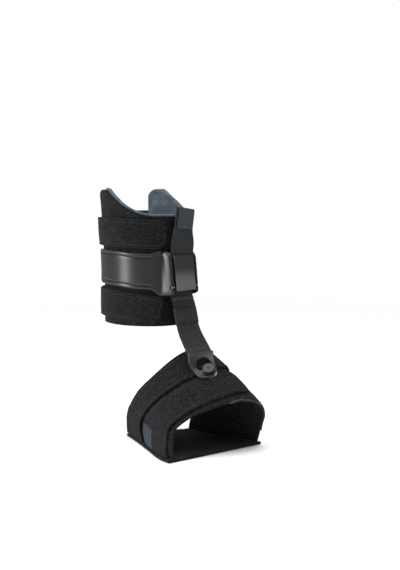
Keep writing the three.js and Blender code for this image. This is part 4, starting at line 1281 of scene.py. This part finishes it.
# The button stands on the wrap; the tab runs from it up to the elastic
tab = {
    "wall": 2.4, "tip": 7.2, "corner": 9.3, "topHalf": 13.5, "waistHalf": 9.5, "holeRadius": 6.9,
    "holeShift": 6.6, "offside": 2.0,
    "slot": 3.1, "under": 0.5, "top": (-4.5, -66.5, 82.3), "rim": 0.5, "rimWidth": 1.5, "rings": 26,
    "round": 0.7, "segments": 180,
}
button = {"along": 78, "angle": 72.5, "head": 5.6, "headHeight": 3, "collar": 7, "shank": 2.5,
          "flange": 5, "flangeWall": 1}
buttonFoot = footPlace(np.float64(button["along"]), np.float64(button["angle"]), 0.0)
buttonAxis = unit(np.cross(
    footPlace(np.float64(button["along"] + 0.5), button["angle"], 0.0)
    - footPlace(np.float64(button["along"] - 0.5), button["angle"], 0.0),
    footPlace(np.float64(button["along"]), button["angle"] + 0.5, 0.0)
    - footPlace(np.float64(button["along"]), button["angle"] - 0.5, 0.0)))
buttonAxis = buttonAxis * np.sign(buttonAxis[2])
tabHeel = buttonFoot + buttonAxis * tab["under"]
tabTop = legToWorld(np.array(tab["top"], float))
tabWay = tabTop - tabHeel
tabWay = unit(tabWay - buttonAxis * (tabWay @ buttonAxis))
tabAcross = unit(np.cross(tabWay, buttonAxis))
tabRise = np.linalg.norm(tabTop - tabHeel)
elasticEnd = legToWorld(np.array(patch["bottom"], float))
elasticWay = unit(elasticEnd - tabTop)
patchWay = unit(legToWorld(np.array(patch["top"], float)) - elasticEnd)
worldAcross = np.array([1.0, 0, 0])
legAcross = np.array([math.cos(toeOut), math.sin(toeOut), 0])


def makeLiftElastic():
    start = tabTop - elasticWay * elastic["sewnIn"]
    end = elasticEnd + patchWay * elastic["sewnIn"]
    chord = np.linalg.norm(end - start)
    half = elastic["halfWidth"]

    def place(s, p, h):
        t = s / chord
        centre, way = bezier(start, elasticWay, end, patchWay, chord / 3, t)
        across = unit(blendTo(worldAcross, legAcross, np.asarray(t)[..., None]))
        up = unit(np.cross(across, way))
        width = blendTo(tab["topHalf"] / half, 1, ease(t, 0, 0.3))
        return centre + across * (np.asarray(p) * width)[..., None] + up * np.asarray(h)[..., None]

    def relief(s, p, rim):
        # Lengthwise ribs: the size of a sine across the width, flattened where the bar-tack holds it
        ribs = np.abs(np.sin(math.pi * elastic["ribs"] * (p / (2 * half) + 0.5))) ** 0.7
        tack = np.exp(-(((s - 2.2) / 1.6) ** 2))
        return elastic["ribDepth"] * (ribs - 1) * (1 - 0.6 * tack) - 0.25 * tack

    cloth = slab("liftElastic", ribbed, place, chord, lambda s: -half + 0 * s, lambda s: half + 0 * s,
                 elastic["wall"] / 2, -elastic["wall"] / 2, elastic["step"], elastic["rounding"], relief)
    ends = (tabTop + elasticWay, elasticEnd - patchWay)
    joinAcross(cloth, ("foot_wrap", "cuff"), "elastic", *ends, "lift_elastic")
    # A bar-tack of zigzag stitches across the lower end
    t = np.linspace(-half + 0.7, half - 0.7, 80)
    lines = [seamLine(place, elastic["sewnIn"] + row, t, elastic["wall"] / 2 - 0.2)
             for row in elastic["tackRows"]]
    tack = stitch("elasticBarTack", barTackThread, lines, 0.95, 2.2, 0.32, 1.8)
    joinAcross(tack, ("foot_wrap", "cuff"), "elastic", *ends)


def tabPlace(q, p, h):
    # Flat about the button, then a cubic up to the elastic while the width's direction turns level.
    t = np.maximum(q, 0) / tabRise
    centre, way = bezier(tabHeel, tabWay, tabTop, elasticWay, tabRise / 3, t)
    across = unit(blendTo(tabAcross, worldAcross, ease(t, 0.3, 1)[..., None]))
    up = unit(np.cross(across, way))
    flat = (q <= 0)[..., None]
    centre = np.where(flat, tabHeel + tabWay * q[..., None], centre)
    across = np.where(flat, tabAcross, across)
    up = np.where(flat, buttonAxis, up)
    return centre + across * p[..., None] + up * h[..., None]


def makeKeyholeTab():
    # A ring of flat plate between two outlines about the keyhole: the outer is the tab's edge, the
    # inner the keyhole's, both read off by the direction from a point between the hole's two centres.
    hub = 4.2
    q = np.linspace(-tab["tip"], tabRise, 1600)
    inset = cornerInset(q + tab["tip"], tab["corner"])
    half = blendTo(tab["waistHalf"], tab["topHalf"], ease(q + tab["tip"], tab["tip"], tab["tip"] + tabRise))
    half = half - inset
    side = np.stack([half, q], -1)
    topEdge = np.stack([np.linspace(half[-1], 0, 200), np.full(200, tabRise)], -1)
    tipEdge = np.stack([np.linspace(0, half[0], 100), np.full(100, -tab["tip"])], -1)
    outline = np.concatenate([tipEdge, side, topEdge])
    big = np.linspace(-np.pi / 2, np.pi / 2, 800)
    hole = np.stack([tab["holeRadius"] * np.cos(big), tab["holeShift"] + tab["holeRadius"] * np.sin(big)], -1)
    down = big / 2 - np.pi / 4
    slotArc = np.stack([tab["slot"] * np.cos(down), tab["slot"] * np.sin(down)], -1)
    hole = np.concatenate([slotArc, hole[np.hypot(hole[:, 0], 0) > tab["slot"]]])
    hole = hole[np.argsort(np.arctan2(hole[:, 1] - hub, hole[:, 0]))]

    def reach(points, turn):
        # Distance from the hub in each direction, mirrored left and right
        angle = np.arctan2(points[:, 1] - hub, points[:, 0])
        order = np.argsort(angle)
        folded = np.where(np.cos(turn) >= 0, np.arctan2(np.sin(turn), np.cos(turn)),
                          np.arctan2(np.sin(turn), -np.cos(turn)))
        return np.interp(folded, angle[order], np.hypot(points[:, 0], points[:, 1] - hub)[order])

    turn = np.linspace(0, 2 * np.pi, tab["segments"] + 1)[:-1]
    near, far = reach(hole, turn), reach(outline, turn)
    share = crowded(1, 1 / tab["rings"], 0.16)
    radius = near[:, None] + (far - near)[:, None] * share
    span = (far - near)[:, None]
    rim = np.minimum(share * span, (1 - share) * span)
    swell = np.sqrt(1 - (1 - np.clip(rim / tab["round"], 0, 1)) ** 2)
    # A raised border follows the outer edge, and a lower one the hole
    border = tab["rim"] * np.exp(-((((1 - share) * span - 1.1) / (tab["rimWidth"] / 2)) ** 2))
    border = border + 0.5 * tab["rim"] * np.exp(-(((share * span - 1.0) / (tab["rimWidth"] / 2)) ** 2))
    wall = tab["wall"] - tab["rim"]
    p = radius * np.cos(turn)[:, None]
    q = hub + radius * np.sin(turn)[:, None]
    # The plate sits towards the outer side of the button: its edge most, the slot not at all
    aside = blendTo(0.7 * ease(q, 2, 7), 1, share) * (1 - ease(q, 11, tabRise))
    p = p - tab["offside"] * aside
    upper = tabPlace(q, p, tab["wall"] / 2 + (wall - tab["wall"] / 2 + border) * swell)
    lower = tabPlace(q, p, tab["wall"] / 2 - tab["wall"] / 2 * swell)
    count = p.size
    faceUp = np.arange(count).reshape(p.shape)
    faceDown = faceUp + count
    faceDown[:, 0], faceDown[:, -1] = faceUp[:, 0], faceUp[:, -1]
    faceUp, faceDown = (np.concatenate([grid, grid[:1]]) for grid in (faceUp, faceDown))
    points = np.concatenate([upper.reshape(-1, 3), lower.reshape(-1, 3)])
    piece = makePiece("keyholeTab", points, [gridFaces(faceUp), gridFaces(faceDown)[:, ::-1]], matte)
    join(piece, "foot_wrap", "matte_moulding", "keyhole_tab")


wrap = {
    "wall": 2.6, "layerGap": 0.5, "margin": 4, "tuck": 2.5, "hookWall": 0.8, "hookInset": 4,
    "bindingWall": 1.1, "bindingWidth": 1.1, "bindingLap": 0.9, "perDegree": 1.05,
    "bendReach": (3.6, 3.4), "step": 0.72, "rounding": 1.2,
    "seam": 3.0, "seamDepth": 0.5, "pile": 0.1, "lumps": 0.22, "wave": 0.5,
    "rearEdge": [(0, 0), (10, -2), (21, 10), (39, 32), (60, 46), (90, 56), (125, 50), (180, 22)],
    "slitRear": [(0, 38), (8, 28), (16, 31), (27, 43), (40, 57), (64, 73), (90, 79), (125, 74), (180, 58)],
    "slitFront": [
        (0, 46), (10, 36), (19, 38.5), (33, 52), (42, 61), (65, 78), (90, 85), (125, 84), (180, 70),
    ],
    "frontEdge": [
        (0, 88), (15, 80), (22, 77), (35, 85), (43, 91), (60, 101), (85, 107), (125, 108), (180, 92),
    ],
    "tips": {"rear": (106, 136, 7), "front": (85, 100, 6)}, "bend": {"rear": (0.5, -0.3), "front": (0, 0.1)},
}
baseOver = (footPlace(np.float64(button["along"]), button["angle"], wrap["wall"] + wrap["layerGap"])
            - buttonFoot) @ buttonAxis
baseUnder = (footPlace(np.float64(button["along"]), button["angle"], 2 * wrap["wall"] + wrap["layerGap"])
             - buttonFoot) @ buttonAxis


def makeButton():
    under, over = tab["under"], tab["under"] + tab["wall"]
    headUnder = over + gap
    top = headUnder + button["headHeight"]
    head = button["head"]
    bore = button["shank"] + gap
    shankTop = top - 1.2
    profile = [(bore, headUnder), (head - 0.4, headUnder), (head, headUnder + 0.3), (head, top - 1.3)]
    profile += [(head - 0.9 * (1 - math.cos(t)), top - 1.3 + 0.9 * math.sin(t)) for t in (0.3, 0.7, 1.1, 1.5)]
    profile += [(head - 1.3, top - 0.28), (head - 1.7, top - 0.42), (2.2, top - 0.3), (1.3, top - 0.34)]
    profile += [(0.85, top - 0.5), (0.6, top - 0.85), (0, top - 0.9), (0, shankTop + gap - 0.1)]
    profile += [(bore, shankTop + gap - 0.1), (bore, headUnder)]
    turned = lathe("buttonHead", glossBlack, profile, buttonFoot, buttonAxis)
    join(turned, "foot_wrap", "gloss_black", "button_head")
    collar = button["collar"]
    profile = [(bore, baseOver + gap), (collar - 0.4, baseOver + gap), (collar, baseOver + gap + 0.4)]
    profile += [(collar, -0.5), (collar - 0.3, 0), (collar - 0.9, under - gap), (collar - 1.8, under - gap)]
    profile += [(collar - 2.2, under - gap - 0.25), (bore + 0.6, under - gap - 0.25)]
    profile += [(bore + 0.3, under - gap)]
    profile += [(bore, under - gap), (bore, baseOver + gap)]
    join(lathe("buttonCollar", steel, profile, buttonFoot, buttonAxis), "foot_wrap", "steel", "button_collar")
    low = baseUnder - gap
    flange, wall, shank = button["flange"], button["flangeWall"], button["shank"]
    profile = [(0, low - wall), (flange - 0.4, low - wall), (flange, low - wall + 0.3), (flange, low - 0.2)]
    profile += [(flange - 0.2, low), (shank, low), (shank, shankTop - 0.3), (shank - 0.3, shankTop)]
    profile += [(0, shankTop), (0, low - wall)]
    join(lathe("buttonRivet", steel, profile, buttonFoot, buttonAxis), "foot_wrap", "steel", "button_rivet")


liftPlace, liftLength = makeLiftStrap()
makePullLabel(liftPlace, liftLength)
makeKeeper()
makeWovenPatch()
makeLiftElastic()
makeKeyholeTab()
makeButton()
print("lift strap, tab and button made")


# Foot wrap: base with its binding, two closure straps, sole band

def wrapEdge(key, shift=0.0):
    return lambda angle: through(wrap[key], angle) + shift


def wrapAngle(s, start=0.0):
    return start + s / wrap["perDegree"]


def makeInstepBase():
    rear, front = wrapEdge("rearEdge", wrap["tuck"]), wrapEdge("frontEdge", wrap["margin"])
    length = 180 * wrap["perDegree"]
    upper = -(wrap["wall"] + wrap["layerGap"])

    def place(s, p, h):
        return onWrap(p, wrapAngle(s), -h)

    def wave(s):
        return wrap["wave"] * np.sin(s * 0.21) * np.sin(s * 0.083 + 0.6)

    base = slab("instepBase", pile, place, length, lambda s: rear(wrapAngle(s)),
                lambda s: front(wrapAngle(s)) + wave(s), upper, upper - wrap["wall"], wrap["step"] * 1.2,
                wrap["rounding"], clothRelief(wrap, 71, 2.2))
    join(base, "foot_wrap", "loop_fabric", "instep_base")
    first, last = 66 * wrap["perDegree"], 170 * wrap["perDegree"]
    middle = upper - wrap["wall"] / 2
    binding = slab("baseBinding", bindingTape, lambda s, p, h: place(s + first, p, h), last - first,
                   lambda s: front(wrapAngle(s + first)) + wave(s + first) - wrap["bindingLap"],
                   lambda s: front(wrapAngle(s + first)) + wave(s + first) + gap + wrap["bindingWidth"],
                   middle + wrap["bindingWall"] / 2, middle - wrap["bindingWall"] / 2, 0.7, 0.5)
    join(binding, "foot_wrap", "lining", "base_binding")


def makeInstepStrap(name, rearKey, frontKey, seed):
    hinge, end, corner = wrap["tips"][name]
    rear, front = wrapEdge(rearKey), wrapEdge(frontKey)
    length = end * wrap["perDegree"]
    free = hinge * wrap["perDegree"]

    def low(s):
        return rear(wrapAngle(s)) + cornerInset(length - s, corner)

    def high(s):
        return front(wrapAngle(s)) - cornerInset(length - s, corner)

    def bottom(s):
        # Over the hook patch the underside stands higher than on the base
        return -blendTo(wrap["wall"], wrap["wall"] - wrap["hookWall"] - gap, ease(s, free - 2, free + 3))

    def place(s, p, h):
        return onWrap(p, wrapAngle(s), -h)

    cloth = slab("instep" + name.capitalize() + "Strap", pile, place, length, low, high, 0.0, bottom,
                 wrap["step"], wrap["rounding"], clothRelief(wrap, seed, wrap["seam"]))
    hole = buttonWell(button["collar"] + 0.35)
    carve(cloth, hole)
    middle = (rear(hinge) + front(hinge)) / 2
    centre = onWrap(middle, hinge, 0.0)
    way = unit(onWrap(middle, hinge + 2.0, 0.0) - onWrap(middle, hinge - 2.0, 0.0))
    # The bend line's two ends are measured along a slanted line
    outward, slide = wrap["bend"][name]
    normal = unit(onWrap(middle, hinge, -5.0) - centre)
    bendWay = unit(way + outward * normal + slide * np.cross(way, normal))
    before, after = wrap["bendReach"]
    ends = (centre - bendWay * before, centre + bendWay * after)
    bodies = ("foot_wrap", "instep_" + name + "_strap_end")
    nodes = ("instep_" + name + "_strap", "instep_" + name + "_strap_end")
    joinAcross(cloth, bodies, "loop_fabric", *ends, *nodes)
    inset = wrap["seam"]
    run = np.linspace(4, length - inset, 500)
    pull = cornerInset(length - inset - run, corner - inset)
    last = length - inset
    across = np.linspace(float(low(np.array(last))) + 3.5, float(high(np.array(last))) - 3.5, 60)
    lines = [seamLine(place, run, rear(wrapAngle(run)) + inset + pull, -0.25),
             seamLine(place, run, front(wrapAngle(run)) - inset - pull, -0.25),
             seamLine(place, last, across, -0.25)]
    clear = []
    for points, normals in lines:
        # No stitches under the button's collar
        away = np.linalg.norm(points - buttonFoot, axis=1) > button["collar"] + 1.5
        cuts = np.flatnonzero(np.diff(away.astype(int))) + 1
        for part in np.split(np.arange(len(points)), cuts):
            if away[part[0]] and len(part) > 3:
                clear.append((points[part], normals[part]))
    sewn = stitch("instep" + name.capitalize() + "Stitching", darkThread, clear)
    joinAcross(sewn, bodies, "loop_fabric", *ends)

    makeWrapHooks("instep" + name.capitalize() + "HookPatch", place, rear, front, hinge, end,
                  "instep_" + name + "_strap_end", "instep_" + name + "_hook_patch")


def makeWrapHooks(name, place, rear, front, hinge, end, body, cadNode):
    start = (hinge + wrap["hookInset"]) * wrap["perDegree"]
    stop = (end - wrap["hookInset"]) * wrap["perDegree"]
    centre = wrapAngle((start + stop) / 2)
    half = float(front(centre) - rear(centre)) / 2 - wrap["hookInset"]

    def middle(s):
        angle = wrapAngle(s)
        return (rear(angle) + front(angle)) / 2

    makeHookPatch(name, place, start, stop, middle, half, -wrap["wall"], wrap["hookWall"], body, cadNode)


def buttonWell(radius):
    # A cylinder on the button's axis, to cut with
    side = unit(np.cross(buttonAxis, (1.0, 0.2, 0.1)))
    other = np.cross(buttonAxis, side)
    turn = np.linspace(0, 2 * np.pi, 65)[:-1, None]
    ring = buttonFoot + radius * (np.cos(turn) * side + np.sin(turn) * other)
    points = np.concatenate([ring - buttonAxis * 8, ring + buttonAxis * 6])
    i = np.arange(64)
    j = (i + 1) % 64
    walls = np.stack([i, j, 64 + j, 64 + i], -1)
    return makePiece("buttonWell", points, [walls, i[None, ::-1], 64 + i[None]], pile, smooth=False)


def makeSewnEnd():
    # The front strap's lower end is held by a small patch of slate tape, stitched along its two long sides
    look = sewnEnd
    length = (look["to"] - look["from"]) * wrap["perDegree"]
    rear, front = wrapEdge("slitFront", look["inset"]), wrapEdge("frontEdge", -look["inset"])

    def place(s, p, h):
        return onWrap(p, wrapAngle(s, look["from"]), -h)

    def low(s):
        return rear(wrapAngle(s, look["from"])) + cornerInset(np.minimum(s, length - s), 1.5)

    def high(s):
        return blendTo(low(s), front(wrapAngle(s, look["from"])), look["share"])

    cloth = slab("sewnEndPatch", bindingTape, place, length, low, high, look["wall"], 0.05, 0.5, 0.4,
                 clothRelief(look, 97))
    join(cloth, "foot_wrap", "lining")
    run = np.linspace(1.2, length - 1.2, 120)
    lines = [seamLine(place, run, low(run) + 1.3, look["wall"] - 0.05),
             seamLine(place, run, high(run) - 1.3, look["wall"] - 0.05)]
    join(stitch("sewnEndStitching", slateThread, lines, 1.7, 1.3, 0.22), "foot_wrap", "lining")


def makeSoleBand():
    rear = (0.0, 22.0)
    front = (through(wrap["frontEdge"], 0) + wrap["margin"], through(wrap["frontEdge"], 180) + wrap["margin"])
    width = 80

    def place(s, p, h):
        # Across, a share of the sole's own width at that place along the foot
        outer, inner = np.moveaxis(through(foot["sections"], p), -1, 0)[:2]
        return stack(blendTo(-outer, inner, s / width), legAxisY - p, h)

    band = slab("soleBand", pile, place, width, lambda s: blendTo(rear[0], rear[1], s / width),
                lambda s: blendTo(front[0], front[1], s / width), foot["soleWall"], 0.0, 1.0, 1.2,
                clothRelief(wrap, 91, 3.0))
    join(band, "foot_wrap", "loop_fabric", "sole_band")


sewnEnd = {"from": 1.5, "to": 14, "inset": 1.5, "share": 0.42, "wall": 0.55, "pile": 0.04, "lumps": 0.1}
makeInstepBase()
makeInstepStrap("rear", "rearEdge", "slitRear", 81)
makeInstepStrap("front", "slitFront", "frontEdge", 86)
makeSewnEnd()
makeSoleBand()
print("foot wrap made")


# The view, the studio and the end

makeCamera()
makeStudio()
print("studio ready")
